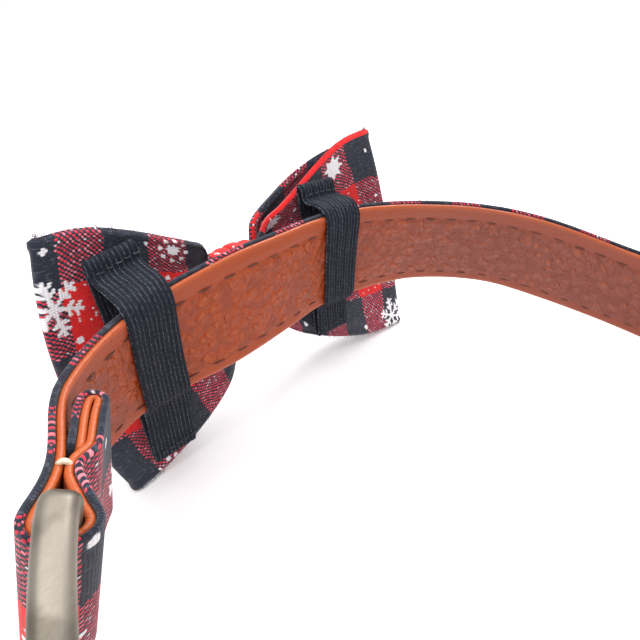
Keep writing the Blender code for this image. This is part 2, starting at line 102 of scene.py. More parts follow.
def tone(red: int, green: int, blue: int) -> Colour:
    """A colour given on the usual 0 to 255 scale, made linear.

    Args:
        red: Red on the 0 to 255 scale.
        green: Green on the same scale.
        blue: Blue on the same scale.

    Returns:
        The three linear channels.
    """
    shares = (red / 255, green / 255, blue / 255)
    return tuple(((share + 0.055) / 1.055) ** 2.4 if share > 0.04045 else share / 12.92 for share in shares)


def smooth_step(value: Array, low: float, high: float) -> Array:
    """Smooth rise from 0 at low to 1 at high."""
    share = np.clip((value - low) / (high - low), 0.0, 1.0)
    return share * share * (3.0 - 2.0 * share)


def fixed_chance(column: Array, row: Array, seed: int) -> Array:
    """A number from 0 to 1 for each cell of a grid, the same on every run."""
    mixed = np.sin(column * 127.1 + row * 311.7 + seed * 74.7) * 43758.5453
    return mixed - np.floor(mixed)


def soft_noise(x: Array, y: Array, seed: int) -> Array:
    """Smooth value noise in two directions, about -1 to 1, the same on every run.

    Args:
        x: Places in the first direction, one unit for each cell.
        y: Places in the second direction.
        seed: Number that picks one pattern.

    Returns:
        The noise at each place.
    """
    x, y = np.broadcast_arrays(np.asarray(x, float), np.asarray(y, float))
    column, row = np.floor(x).astype(int), np.floor(y).astype(int)
    fx, fy = x - column, y - row
    fx, fy = fx * fx * (3 - 2 * fx), fy * fy * (3 - 2 * fy)

    def corner(i: Array, j: Array) -> Array:
        """Fixed value of one cell corner, from -1 to 1."""
        return 2.0 * fixed_chance(i, j, seed) - 1.0

    low = corner(column, row) * (1 - fx) + corner(column + 1, row) * fx
    high = corner(column, row + 1) * (1 - fx) + corner(column + 1, row + 1) * fx
    return low * (1 - fy) + high * fy


def pebbles(x: Array, y: Array, cell: float, seed: int) -> Array:
    """Rounded pebbles on a shaken grid, from 0 in the creases to 1 on top.

    Args:
        x: Places in the first direction.
        y: Places in the second direction.
        cell: Width of a pebble.
        seed: Number that picks one pattern.

    Returns:
        The height at each place.
    """
    x, y = np.broadcast_arrays(x / cell, y / cell)
    column, row = np.floor(x), np.floor(y)
    nearest = np.full(x.shape, 9.0)
    for i in (-1, 0, 1):
        for j in (-1, 0, 1):
            shaken = fixed_chance(column + i, row + j, seed) * 0.7 - 0.35
            aside = column + i + 0.5 + shaken - x
            above = row + j + 0.5 + (7.0 * shaken % 0.7) - 0.35 - y
            nearest = np.minimum(nearest, aside**2 + above**2)
    return np.clip(1.0 - 1.7 * nearest, 0.0, 1.0)


def hermite(left: Array, right: Array, slope_left: Array, slope_right: Array, share: Array) -> Array:
    """Smooth step from one value to the next with given slopes at both."""
    two, three = share**2, share**3
    start = left * (2 * three - 3 * two + 1) + slope_left * (three - 2 * two + share)
    return start + right * (3 * two - 2 * three) + slope_right * (three - two)


def calm_slopes(places: Array, values: Array) -> Array:
    """Slopes of a curve through the given places that never swings past their values."""
    steps = np.diff(values) / np.diff(places)
    both = steps[:-1] * steps[1:]
    total = np.where(both > 0.0, steps[:-1] + steps[1:], 1.0)
    inner = np.where(both > 0.0, 2.0 * both / total, 0.0)
    return np.concatenate((steps[:1], inner, steps[-1:]))


def open_curve(places: Array, values: Array, at: Array) -> Array:
    """Values at places on the smooth curve through a table's column."""
    at = np.clip(at, places[0], places[-1])
    step = np.clip(np.searchsorted(places, at) - 1, 0, len(places) - 2)
    width = places[step + 1] - places[step]
    slopes = calm_slopes(places, values)
    share = (at - places[step]) / width
    return hermite(values[step], values[step + 1], slopes[step] * width, slopes[step + 1] * width, share)


def closed_curve(values: Array, turn: Array) -> Array:
    """Values on the smooth closed curve through a table's column, where turn counts rows."""
    count = len(values)
    row = np.floor(turn).astype(int)
    before, here, after, beyond = (values[(row + k) % count] for k in (-1, 0, 1, 2))
    return hermite(here, after, (after - before) / 2, (beyond - here) / 2, turn - row)


def evenly(points: Array, step: float, closed: bool = False) -> Array:
    """Points at even distances along a dense polyline; a closed one starts and ends at one point."""
    lengths = np.concatenate(([0.0], np.cumsum(np.linalg.norm(np.diff(points, axis=0), axis=1))))
    parts = max(2, round(lengths[-1] / step))
    at = np.linspace(0.0, lengths[-1], parts + 1)
    spread = np.column_stack([np.interp(at, lengths, points[:, k]) for k in range(points.shape[1])])
    return spread[:-1] if closed else spread


class GridMesh:
    """Gathers grids of points in millimetres into one object with a UV map in millimetres."""

    def __init__(self) -> None:
        """Start with no points."""
        self.points: list[Array] = []
        self.faces: list[list[int]] = []
        self.corners: list[Array] = []
        self.count = 0

    def add(self, grid: Array, uv: Array, wrap_rows: bool = False, wrap_columns: bool = False) -> int:
        """Add a grid of quads.

        Args:
            grid: Points by row and column.
            uv: Surface places by row and column, one more row or column where the grid wraps.
            wrap_rows: Whether the last row joins the first.
            wrap_columns: Whether the last column joins the first.

        Returns:
            The index of the grid's first point.
        """
        rows, columns = grid.shape[:2]
        base = self.count
        self.points.append(grid.reshape(-1, 3))
        self.count += rows * columns
        i, j = np.meshgrid(
            np.arange(rows if wrap_rows else rows - 1),
            np.arange(columns if wrap_columns else columns - 1),
            indexing="ij",
        )
        places = [(i, j), (i + 1, j), (i + 1, j + 1), (i, j + 1)]
        index = [base + (a % rows) * columns + b % columns for a, b in places]
        self.faces += np.stack(index, axis=-1).reshape(-1, 4).tolist()
        self.corners.append(np.stack([uv[a, b] for a, b in places], axis=-2).reshape(-1, 2))
        return base

    def cap(self, index: list[int], uv: Array) -> None:
        """Close an opening with one face round the given points."""
        self.faces.append(index)
        self.corners.append(uv)

    def build(self, name: str, material: bpy.types.Material) -> bpy.types.Object:
        """Make the object, with its faces outwards and shaded smooth.

        Args:
            name: Name of the object and its mesh.
            material: Finish of the whole piece.

        Returns:
            The new object, with its place in its mesh.
        """
        mesh = bpy.data.meshes.new(name)
        mesh.from_pydata((np.concatenate(self.points) * MM).tolist(), [], self.faces)
        layer = mesh.uv_layers.new(name=UV_NAME)
        layer.data.foreach_set("uv", np.concatenate(self.corners).astype(np.float32).ravel())
        shape = bmesh.new()
        shape.from_mesh(mesh)
        bmesh.ops.recalc_face_normals(shape, faces=shape.faces[:])
        shape.to_mesh(mesh)
        shape.free()
        mesh.shade_smooth()
        mesh.materials.append(material)
        thing = bpy.data.objects.new(name, mesh)
        bpy.context.scene.collection.objects.link(thing)
        return thing


def closed_sheet(grid: Array, half: Array) -> tuple[Array, Array, Array]:
    """Outer and inner skin of a ring of cloth, half a thickness each side of its middle surface.

    Args:
        grid: Middle surface, by steps round the ring and places across the cloth.
        half: Half thickness at each point or at each place across.

    Returns:
        The outer skin, the inner skin and the outward directions.
    """
    round_it = np.roll(grid, -1, axis=0) - np.roll(grid, 1, axis=0)
    normal = np.cross(round_it, np.gradient(grid, axis=1))
    normal /= np.linalg.norm(normal, axis=2)[:, :, None]
    thick = np.broadcast_to(half, grid.shape[:2])[..., None]
    return grid + normal * thick, grid - normal * thick, normal


def ring_piece(
    name: str, outer: Array, inner: Array, walked: Array, across: Array, material: bpy.types.Material
) -> bpy.types.Object:
    """Join the two skins of a ring of cloth into one piece.

    Args:
        name: Name of the piece.
        outer: Outer skin.
        inner: Inner skin.
        walked: Length round the ring at each step and back at the start, in millimetres; one column or many.
        across: Place across the cloth at each column, in millimetres; one row or many.
        material: Finish of the piece.

    Returns:
        The piece.
    """
    loop = np.concatenate((outer, inner[:, ::-1]), axis=1)
    places = np.broadcast_arrays(walked.reshape(len(walked), -1), np.atleast_2d(across))
    uv = np.stack([np.concatenate((part, part[:, ::-1], part[:, :1]), axis=1) for part in places], axis=-1)
    mesh = GridMesh()
    mesh.add(loop, uv, wrap_rows=True, wrap_columns=True)
    return mesh.build(name, material)


def stand_for(piece: bpy.types.Object, node: str) -> None:
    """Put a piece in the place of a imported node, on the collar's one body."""
    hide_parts(node)
    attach(piece, "root")


def ring_lengths(middle: Array) -> Array:
    """Length walked round a closed line of points, with the full turn at the end."""
    steps = np.linalg.norm(np.roll(middle, -1, axis=0) - middle, axis=1)
    return np.concatenate(([0.0], np.cumsum(steps)))


class Value:
    """One result in a node tree, on which plain arithmetic signs build further nodes."""

    def __init__(self, board: "NodeBoard", socket: bpy.types.NodeSocket) -> None:
        """Hold a socket and the board that its next nodes go on."""
        self.board, self.socket = board, socket

    def __add__(self, other: object) -> "Value":
        """The sum."""
        return self.board.math("ADD", self, other)

    def __radd__(self, other: object) -> "Value":
        """The sum, with a plain number first."""
        return self.board.math("ADD", other, self)

    def __sub__(self, other: object) -> "Value":
        """The difference."""
        return self.board.math("SUBTRACT", self, other)

    def __rsub__(self, other: object) -> "Value":
        """The difference, with a plain number first."""
        return self.board.math("SUBTRACT", other, self)

    def __mul__(self, other: object) -> "Value":
        """The product."""
        return self.board.math("MULTIPLY", self, other)

    def __truediv__(self, other: object) -> "Value":
        """The quotient."""
        return self.board.math("DIVIDE", self, other)

    def __mod__(self, other: object) -> "Value":
        """What is left after whole steps of the other."""
        return self.board.math("FLOORED_MODULO", self, other)

    def __pow__(self, other: object) -> "Value":
        """The power."""
        return self.board.math("POWER", self, other)

    def __abs__(self) -> "Value":
        """The size without its sign."""
        return self.board.math("ABSOLUTE", self)


class NodeBoard:
    """Short calls for building one shader, group or geometry node tree."""

    # Places of a Mix node's two inputs and of its result, by what it mixes
    MIX_PLACES = {"RGBA": (6, 7, 2), "VECTOR": (4, 5, 1)}
    NUMBER_STEPS = ("LENGTH", "DISTANCE", "DOT_PRODUCT")

    def __init__(self, tree: bpy.types.NodeTree) -> None:
        """Work on the given tree."""
        self.tree = tree

    def add(self, kind: str, inputs: dict[str, object] | None = None, **settings: object) -> bpy.types.Node:
        """A new node of a kind, with its settings and then its named inputs."""
        node = self.tree.nodes.new(kind)
        for name, value in settings.items():
            setattr(node, name, value)
        for name, value in (inputs or {}).items():
            self.feed(node.inputs[name], value)
        return node

    def feed(self, socket: bpy.types.NodeSocket, value: object) -> None:
        """Link a value into a socket, or set the plain value."""
        if isinstance(value, Value):
            self.tree.links.new(value.socket, socket)
        elif value is not None:
            socket.default_value = value

    def get(self, node: bpy.types.Node, name: str | int = 0) -> Value:
        """One result of a node."""
        return Value(self, node.outputs[name])

    def results(self, node: bpy.types.Node) -> dict[str, Value]:
        """Every result of a node by name."""
        return {socket.name: Value(self, socket) for socket in node.outputs}

    def step(self, node: bpy.types.Node, values: tuple[object, ...]) -> bpy.types.Node:
        """Feed a node's inputs in their order."""
        for socket, value in zip(node.inputs, values):
            self.feed(socket, value)
        return node

    def math(self, operation: str, *values: object) -> Value:
        """Result of one step of arithmetic."""
        return self.get(self.step(self.add("ShaderNodeMath", operation=operation), values))

    def largest(self, one: object, two: object) -> Value:
        """The larger of two values."""
        return self.math("MAXIMUM", one, two)

    def vector(self, operation: str, *values: object, scale: object = None) -> Value:
        """Result of one step of vector arithmetic: a number or a vector, as the step gives."""
        node = self.step(self.add("ShaderNodeVectorMath", operation=operation), values)
        if scale is not None:
            self.feed(node.inputs["Scale"], scale)
        return self.get(node, "Value" if operation in self.NUMBER_STEPS else "Vector")

    def split(self, value: object) -> tuple[Value, Value]:
        """The first two parts of a vector."""
        node = self.step(self.add("ShaderNodeSeparateXYZ"), (value,))
        return self.get(node, 0), self.get(node, 1)

    def join(self, x: object, y: object, z: object = 0.0) -> Value:
        """A vector from three numbers."""
        return self.get(self.step(self.add("ShaderNodeCombineXYZ"), (x, y, z)))

    def blend(self, share: object, one: object, two: object, mode: str = "MIX", kind: str = "RGBA") -> Value:
        """A mix of two colours, or of two vectors."""
        node = self.add("ShaderNodeMix", data_type=kind, blend_type=mode)
        first, second, result = self.MIX_PLACES[kind]
        self.feed(node.inputs[0], share)
        for place, value in ((first, one), (second, two)):
            self.feed(node.inputs[place], (*value, 1.0) if isinstance(value, tuple) else value)
        return self.get(node, result)

    def shade(self, colour: object, amount: Value) -> Value:
        """A colour times a grey amount."""
        return self.blend(1.0, colour, self.join(amount, amount, amount), "MULTIPLY")

    def remap(
        self, value: object, low: float, high: float, to_low: float = 0.0, to_high: float = 1.0
    ) -> Value:
        """A number moved smoothly from one range to another and held inside it."""
        node = self.add("ShaderNodeMapRange", interpolation_type="SMOOTHSTEP")
        return self.get(self.step(node, (value, low, high, to_low, to_high)))

    def noise(self, place: object, scale: float, detail: float = 2.0, rough: float = 0.5) -> Value:
        """Noise from 0 to 1 at a place."""
        inputs = {"Vector": place, "Scale": scale, "Detail": detail, "Roughness": rough}
        return self.get(self.add("ShaderNodeTexNoise", inputs))

    def cells(self, place: object, scale: float, smooth: float) -> Value:
        """Distance from the middle of soft-edged cells at a place."""
        node = self.add("ShaderNodeTexVoronoi", feature="SMOOTH_F1")
        inputs = {"Vector": place, "Scale": scale, "Smoothness": smooth, "Randomness": 1.0}
        for name, value in inputs.items():
            self.feed(node.inputs[name], value)
        return self.get(node, "Distance")

    def group(self, tree: bpy.types.NodeTree, **values: object) -> dict[str, Value]:
        """Results of a group placed with its inputs, whose names take underscores for spaces."""
        inputs = {name.replace("_", " "): value for name, value in values.items()}
        return self.results(self.add("ShaderNodeGroup", inputs, node_tree=tree))

    def surface(self) -> Value:
        """The piece's place on its own surface in millimetres."""
        return self.get(self.add("ShaderNodeUVMap", uv_map=UV_NAME))

    def solid(self) -> Value:
        """The place in the piece itself, in metres."""
        return self.get(self.add("ShaderNodeTexCoord"), "Object")

    def bump(self, height: object, strength: float, depth: float) -> Value:
        """A normal from a height, where depth is metres for a height of 1."""
        inputs = {"Strength": strength, "Distance": depth, "Height": height}
        return self.get(self.add("ShaderNodeBump", inputs))


class Motif(Enum):
    """Kinds of white print on the cloth."""

    FLAKE = "flake"
    STAR = "star"
    RING = "ring"


class ShaderGroups:
    """The shader effects that several finishes share, each built once."""

    ORIGIN = (0.0, 0.0, 0.0)

    # Root, length and thickness of each pair of twigs, with the snowflake's arm as 1
    TWIGS = ((0.46, 0.24, 0.06), (0.74, 0.24, 0.055))
    ARM_HALF = 0.06
    TWIG_WAY = (0.5, 0.866, 0.0)
    PRINT_EDGE = 0.03

    def __init__(self) -> None:
        """Build every group."""
        self.weave = self.build_weave()
        self.motifs = {
            Motif.FLAKE: self.build_flake(),
            Motif.STAR: self.build_star(),
            Motif.RING: self.build_ring(),
        }
        self.grain = self.build_grain()
        self.fibre = self.build_fibre()

    @staticmethod
    def start(
        name: str, inputs: dict[str, object], outputs: tuple[str, ...]
    ) -> tuple[NodeBoard, dict[str, Value], bpy.types.NodeInputs]:
        """Begin a group with named sockets.

        Args:
            name: Name of the group.
            inputs: Default value of each input; a tuple makes a vector input.
            outputs: Names of the number outputs; one that ends in "place" is a vector.

        Returns:
            The board, the group's inputs by name and the sockets of its output node.
        """
        tree = bpy.data.node_groups.new(name, "ShaderNodeTree")
        for label, value in inputs.items():
            kind = "NodeSocketVector" if isinstance(value, tuple) else "NodeSocketFloat"
            socket = tree.interface.new_socket(name=label, in_out="INPUT", socket_type=kind)
            socket.default_value = value
        for label in outputs:
            kind = "NodeSocketVector" if label.endswith("place") else "NodeSocketFloat"
            tree.interface.new_socket(name=label, in_out="OUTPUT", socket_type=kind)
        board = NodeBoard(tree)
        return board, board.results(board.add("NodeGroupInput")), board.add("NodeGroupOutput").inputs

    def build_weave(self) -> bpy.types.NodeTree:
        """Plain weave of two yarn colours in a check: which colour lies on top and how high it stands."""
        inputs = {
            "Place": self.ORIGIN,
            "Column": 6.5,
            "Row": 10.5,
            "Column start": 0.0,
            "Row start": 0.0,
            "Skew": 0.0,
            "Lean": 0.0,
            "Yarn width": 0.55,
            "Yarn height": 0.3,
        }
        outputs = ("Red", "Both red", "Relief", "Crossing place", "Chance")
        board, given, out = self.start("woven_check", inputs, outputs)
        width, height = given["Yarn width"], given["Yarn height"]
        sway = (board.noise(given["Place"], 0.45, 1.0) - 0.5) * 0.5
        x, y = board.split(given["Place"])
        across, tall = (x + sway) / width, (y + sway) / height
        across = across + (board.math("FRACT", tall) - 0.5) * 0.35
        across_step, tall_step = board.math("FLOOR", across), board.math("FLOOR", tall)
        top = (across_step + tall_step) % 2.0
        cross_x, cross_y = (across_step + 0.5) * width, (tall_step + 0.5) * height
        column = (cross_x - cross_y * given["Lean"] - given["Column start"]) / given["Column"]
        row = (cross_y - cross_x * given["Skew"] - given["Row start"]) / given["Row"]
        warp, weft = board.math("FLOOR", column) % 2.0, board.math("FLOOR", row) % 2.0
        rise_x = board.math("SINE", board.math("FRACT", across) * math.pi)
        rise_y = board.math("SINE", board.math("FRACT", tall) * math.pi)
        crossing = board.join(cross_x, cross_y)
        chance = board.add("ShaderNodeTexWhiteNoise", {"Vector": crossing}, noise_dimensions="2D")
        board.feed(out["Red"], top * warp + (1.0 - top) * weft)
        board.feed(out["Both red"], warp * weft)
        board.feed(out["Relief"], (rise_x * rise_y) ** 0.55)
        board.feed(out["Crossing place"], crossing)
        board.feed(out["Chance"], board.get(chance, "Value"))
        return board.tree

    @staticmethod
    def folded(board: NodeBoard, given: dict[str, Value], arms: int) -> tuple[Value, Value, Value]:
        """A place round a motif's middle, folded into half of one of its arms.

        Args:
            board: The group's board.
            given: The group's inputs: Place, Middle, Size and Turn.
            arms: How many arms the motif has.

        Returns:
            The folded place, its distance from the arm's middle line and its distance from the
            motif's middle, with 1 at the arm's tip.
        """
        x, y = board.split(board.vector("SUBTRACT", given["Place"], given["Middle"]))
        reach = board.vector("LENGTH", board.join(x, y)) / given["Size"]
        half = math.pi / arms
        angle = board.math("ARCTAN2", y, x) + given["Turn"]
        angle = abs((angle + half) % (2 * half) - half)
        beside = reach * board.math("SINE", angle)
        return board.join(reach * board.math("COSINE", angle), beside), beside, reach

    def motif(self, name: str) -> tuple[NodeBoard, dict[str, Value], bpy.types.NodeInputs]:
        """Begin a print motif's group."""
        inputs = {"Place": self.ORIGIN, "Middle": self.ORIGIN, "Size": 4.0, "Turn": 0.0}
        return self.start(name, inputs, ("Mask",))

    def build_flake(self) -> bpy.types.NodeTree:
        """A six-armed snowflake with two pairs of twigs on each arm."""
        board, given, out = self.motif("snowflake")
        spot, beside, reach = self.folded(board, given, 6)
        nearest = board.largest(beside - self.ARM_HALF, reach - 1.0)
        for root, length, thick in self.TWIGS:
            away = board.vector("SUBTRACT", spot, (root, 0.0, 0.0))
            along = board.largest(board.vector("DOT_PRODUCT", away, self.TWIG_WAY), 0.0)
            foot = board.vector("SCALE", self.TWIG_WAY, scale=board.math("MINIMUM", along, length))
            gap = board.vector("DISTANCE", away, foot)
            nearest = board.math("MINIMUM", nearest, gap - thick)
        board.feed(out["Mask"], board.remap(nearest, self.PRINT_EDGE, -0.01))
        return board.tree

    def build_star(self) -> bpy.types.NodeTree:
        """A filled star with eight points."""
        board, given, out = self.motif("eight_point_star")
        spot, _, _ = self.folded(board, given, 8)
        inner, half = 0.56, math.pi / 8
        side = Vector((inner * math.sin(half), 1.0 - inner * math.cos(half), 0.0)).normalized()
        edge = board.vector("DOT_PRODUCT", spot, tuple(side)) - side.x
        board.feed(out["Mask"], board.remap(edge, self.PRINT_EDGE, -self.PRINT_EDGE))
        return board.tree

    def build_ring(self) -> bpy.types.NodeTree:
        """A small flower inside a ring of eight dots."""
        board, given, out = self.motif("dotted_ring")
        spot, beside, reach = self.folded(board, given, 8)
        dot = board.remap(board.vector("DISTANCE", spot, (0.86, 0.0, 0.0)), 0.19, 0.13)
        petals = reach - (0.5 - beside * 1.1)
        flower = board.remap(petals, self.PRINT_EDGE, -self.PRINT_EDGE)
        board.feed(out["Mask"], board.largest(dot, flower))
        return board.tree

    def build_grain(self) -> bpy.types.NodeTree:
        """Pebbled leather: soft rounded pebbles, the creases between them and fine pores."""
        outputs = ("Height", "Crease", "Top")
        board, given, out = self.start("pebble_grain", {"Place": self.ORIGIN, "Cell": 2.2}, outputs)
        bent = (board.noise(given["Place"], 0.5) - 0.5) * 1.8
        moved = board.vector("ADD", given["Place"], board.join(bent, bent))
        sized = board.vector("SCALE", moved, scale=board.math("DIVIDE", 1.0, given["Cell"]))
        pebble, small = board.cells(sized, 1.0, 0.35), board.cells(sized, 2.3, 0.3)
        dome, ripple = board.remap(pebble, 0.62, 0.05), board.remap(small, 0.6, 0.1)
        pores = board.noise(given["Place"], 6.0, 3.0)
        board.feed(out["Height"], dome + ripple * 0.3 + pores * 0.08)
        # Crease marks the creases, which the leather darkens as painted shade
        board.feed(out["Crease"], board.remap(pebble, 0.42, 0.75))
        # Top marks the pebble tops, which the leather lightens as painted highlight
        board.feed(out["Top"], board.remap(pebble, 0.4, 0.1))
        return board.tree

    def build_fibre(self) -> bpy.types.NodeTree:
        """Fine brushed fibres that run mostly one way: a height and a tint."""
        inputs = {"Place": self.ORIGIN, "Along": 0.8, "Across": 7.0}
        board, given, out = self.start("brushed_fibre", inputs, ("Height", "Tint"))
        x, y = board.split(given["Place"])
        fine = board.noise(board.join(x * given["Along"], y * given["Across"]), 1.0, 3.0, 0.6)
        broad = board.noise(given["Place"], 0.28)
        board.feed(out["Height"], fine)
        board.feed(out["Tint"], fine * 0.7 + broad * 0.3)
        return board.tree


@dataclass(frozen=True)
class Finish:
    """What every finish has: a name, a roughness, a metallic value and a gloss."""

    name: str
    roughness: float
    metallic: float = 0.0
    gloss: float = 0.5

    def begin(self) -> tuple[NodeBoard, bpy.types.Node, bpy.types.Material]:
        """A new material with its shader.

        Returns:
            The board of its tree, its Principled node and the material.
        """
        made = bpy.data.materials.new(self.name)
        made.use_nodes = True
        shader = made.node_tree.nodes["Principled BSDF"]
        shader.inputs["Roughness"].default_value = self.roughness
        shader.inputs["Metallic"].default_value = self.metallic
        shader.inputs["Specular IOR Level"].default_value = self.gloss
        return NodeBoard(made.node_tree), shader, made


@dataclass(frozen=True)
class LeatherFinish(Finish):
    """Orange-brown pebbled leather, smoother along its sewn margins, with painted light: pebble tops
    lightened as painted highlight, creases darkened as painted shade, and a mauve-brown tint outside one
    stretch of the strap as painted reflection.
    """

    gloss: float = 0.36
    body: Colour = tone(158, 64, 20)
    # Painted reflection: a mauve-brown tint standing in for the pale room reflected in the leather
    brown: Colour = tone(140, 74, 58)
    # Painted highlight on the pebble tops
    light: Colour = tone(184, 92, 46)
    # Painted shade in the creases between pebbles
    crease: Colour = tone(104, 38, 16)
    margin: Colour = tone(152, 64, 26)
    edge: Colour = tone(184, 88, 42)
    pebble: float = 1.8
    upper_row: float = 6.6
    lower_row: float = -7.7
    rim: float = 9.7
    relief_depth: float = 0.00048

    def build(self, groups: ShaderGroups) -> bpy.types.Material:
        """Make the material from the shared groups."""
        board, shader, made = self.begin()
        place = board.surface()
        along, height = board.split(place)
        below_upper = board.remap(height, self.upper_row + 0.5, self.upper_row - 0.7)
        above_lower = board.remap(height, self.lower_row - 0.5, self.lower_row + 0.7)
        inside = below_upper * above_lower
        grain = board.group(groups.grain, Place=place, Cell=self.pebble)
        moved = along + (board.noise(place, 0.07) - 0.5) * 30.0
        # Painted reflection: the mauve-brown tint covers the leather except between about 66 and 100 mm along
        far, near = board.remap(moved, 100.0, 150.0), board.remap(moved, 66.0, 50.0)
        colour = board.blend(board.largest(far, near), self.body, self.brown)
        # Painted highlight: the pebble tops are lightened
        colour = board.blend(grain["Top"] * inside * 0.38, colour, self.light)
        # Painted shade: the creases between pebbles are darkened
        colour = board.blend(grain["Crease"] * inside * 0.42, colour, self.crease)
        colour = board.blend(0.35 - inside * 0.35, colour, self.margin)
        rim = board.remap(abs(height), self.rim - 0.9, self.rim - 0.25)
        colour = board.blend(rim * board.remap(along, 66.0, 40.0, 0.5, 1.0), colour, self.edge)
        rough = self.roughness - 0.1 + board.noise(place, 3.0, 3.0) * 0.2 - rim * 0.12
        relief = grain["Height"] * (0.1 + inside * 0.9) + board.noise(place, 2.2, 4.0) * 0.22
        board.feed(shader.inputs["Base Color"], colour)
        board.feed(shader.inputs["Roughness"], rough)
        board.feed(shader.inputs["Normal"], board.bump(relief, 1.0, self.relief_depth))
        return made


@dataclass(frozen=True)
class ClothFinish(Finish):
    """Yarn-dyed red and black check with a white print, and painted shade in the gaps between the yarns."""

    gloss: float = 0.2
    black: Colour = tone(40, 44, 57)
    lint: Colour = tone(100, 106, 122)
    pink: Colour = tone(228, 58, 78)
    blush: Colour = tone(246, 136, 150)
    red: Colour = tone(240, 36, 36)
    white: Colour = tone(252, 252, 255)
    column: float = 6.8
    row: float = 10.5
    column_start: float = -3.0
    row_start: float = -4.3
    skew: float = -0.03
    lean: float = -0.05
    yarn_width: float = 0.42
    yarn_height: float = 0.37
    prints: tuple[tuple[Motif, float, float, float, float], ...] = ()
    dots: tuple[tuple[float, float, float], ...] = ()
    repeat: tuple[float, float] = (180.0, 60.0)
    repeat_start: float = -20.0
    fleck_share: float = 0.03
    red_rim: tuple[float, float, float] = (99.0, 0.0, 0.0)
    sheen: float = 0.2
    sheen_roughness: float = 0.5
    relief_depth: float = 0.0001

    def build(self, groups: ShaderGroups) -> bpy.types.Material:
        """Make the material from the shared groups."""
        board, shader, made = self.begin()
        place = board.surface()
        weave = board.group(
            groups.weave,
            Place=place,
            Column=self.column,
            Row=self.row,
            Column_start=self.column_start,
            Row_start=self.row_start,
            Skew=self.skew,
            Lean=self.lean,
            Yarn_width=self.yarn_width,
            Yarn_height=self.yarn_height,
        )
        fibre = board.group(groups.fibre, Place=place, Along=1.1, Across=3.4)
        relief, chance = weave["Relief"], weave["Chance"]
        yarn = board.blend(board.remap(chance, 0.55, 1.0), self.pink, self.blush)
        red = board.shade(board.blend(weave["Both red"], yarn, self.red), 0.5 + fibre["Tint"] * 0.95)
        faded = board.remap(chance, 0.0, 0.3, 0.55, 1.0)
        # The red yarn gives way to black towards its edges: partly the black yarn beneath, partly painted
        # shade in the gaps between yarns
        shown = weave["Red"] * board.remap(relief, 0.12, 0.52) * faded
        shown = board.largest(shown, weave["Both red"] * 0.93)
        brushed = board.remap(fibre["Height"], 0.5, 0.72)
        black = board.blend(brushed * 0.6, self.black, self.lint)
        rolled = self.rolled_rim(board, place)
        shown = board.largest(shown, rolled * 0.9)
        colour = board.blend(shown, black, board.blend(rolled, red, self.red))
        colour = board.blend(self.print_mask(board, groups, place, weave, fibre), colour, self.white)
        height = relief + fibre["Height"] * 0.9
        # Painted shade: the colour is darkened by up to a fifth where the yarns dip
        board.feed(shader.inputs["Base Color"], board.shade(colour, 0.8 + relief * 0.2))
        board.feed(shader.inputs["Normal"], board.bump(height, 0.75, self.relief_depth))
        shader.inputs["Sheen Weight"].default_value = self.sheen
        shader.inputs["Sheen Roughness"].default_value = self.sheen_roughness
        return made

    def rolled_rim(self, board: NodeBoard, place: Value) -> Value:
        """Where the cloth's rim is rolled over and shows its red back, from 0 to 1."""
        low, start, end = self.red_rim
        x, y = board.split(place)
        above, after = board.math("GREATER_THAN", y, low), board.math("GREATER_THAN", x, start)
        return above * after * board.math("LESS_THAN", x, end)

    def print_mask(
        self,
        board: NodeBoard,
        groups: ShaderGroups,
        place: Value,
        weave: dict[str, Value],
        fibre: dict[str, Value],
    ) -> Value:
        """White print that clings to the tops of the yarns.

        Args:
            board: The material's board.
            groups: The shared groups.
            place: Place on the cloth.
            weave: Results of the weave group.
            fibre: Results of the fibre group.

        Returns:
            How white the cloth is, from 0 to 1.
        """
        x, y = board.split(board.blend(0.6, place, weave["Crossing place"], kind="VECTOR"))
        wide, tall = self.repeat
        tile_x = (x - self.repeat_start) % wide + self.repeat_start
        tile = board.join(tile_x, (y + tall / 2) % tall - tall / 2)
        mask: Value | float = 0.0
        for kind, middle_x, middle_y, size, turn in self.prints:
            middle = (middle_x, middle_y, 0.0)
            one = board.group(groups.motifs[kind], Place=tile, Middle=middle, Size=size, Turn=turn)
            mask = board.largest(mask, one["Mask"])
        for middle_x, middle_y, size in self.dots:
            away = board.vector("DISTANCE", tile, (middle_x, middle_y, 0.0))
            mask = board.largest(mask, board.remap(away, size, size * 0.75))
        bare = board.math("GREATER_THAN", self.fleck_share, weave["Chance"])
        mask = board.largest(mask, bare * weave["Red"] * weave["Relief"] * 0.8)
        return mask * board.remap(fibre["Height"], 0.22, 0.42, 0.35, 1.0)


@dataclass(frozen=True)
class ElasticFinish(Finish):
    """Near-black ribbed elastic with fine light twists between its ribs."""

    gloss: float = 0.2
    body: Colour = tone(20, 24, 34)
    light: Colour = tone(124, 131, 147)
    ribs: int = 11
    width: float = 8.0
    relief_depth: float = 0.00009

    def build(self, groups: ShaderGroups) -> bpy.types.Material:
        """Make the material from the shared groups."""
        board, shader, made = self.begin()
        place = board.surface()
        x, y = board.split(place)
        sway = (board.noise(place, 0.5, 1.0) - 0.5) * 0.35
        rib = (y + sway + self.width / 2) * (self.ribs / self.width)
        line = board.remap(abs(board.math("FRACT", rib) - 0.5), 0.36, 0.46)
        twist = board.math("SINE", x * 7.0 + board.math("FLOOR", rib) * 2.4)
        fibre = board.group(groups.fibre, Place=place, Along=1.2, Across=6.0)
        fleck = line * board.remap(twist, -0.7, 0.8, 0.1, 1.0) * board.remap(fibre["Tint"], 0.34, 0.6)
        lint = board.remap(fibre["Height"], 0.45, 0.8) * 0.1
        colour = board.blend(lint, self.body, self.light)
        colour = board.blend(fleck * 0.62, colour, self.light)
        knit = board.math("SINE", x * 12.0)
        height = knit * 0.1 + fibre["Height"] * 0.8 + line * 0.5
        board.feed(shader.inputs["Base Color"], colour)
        board.feed(shader.inputs["Normal"], board.bump(height, 0.8, self.relief_depth))
        return made


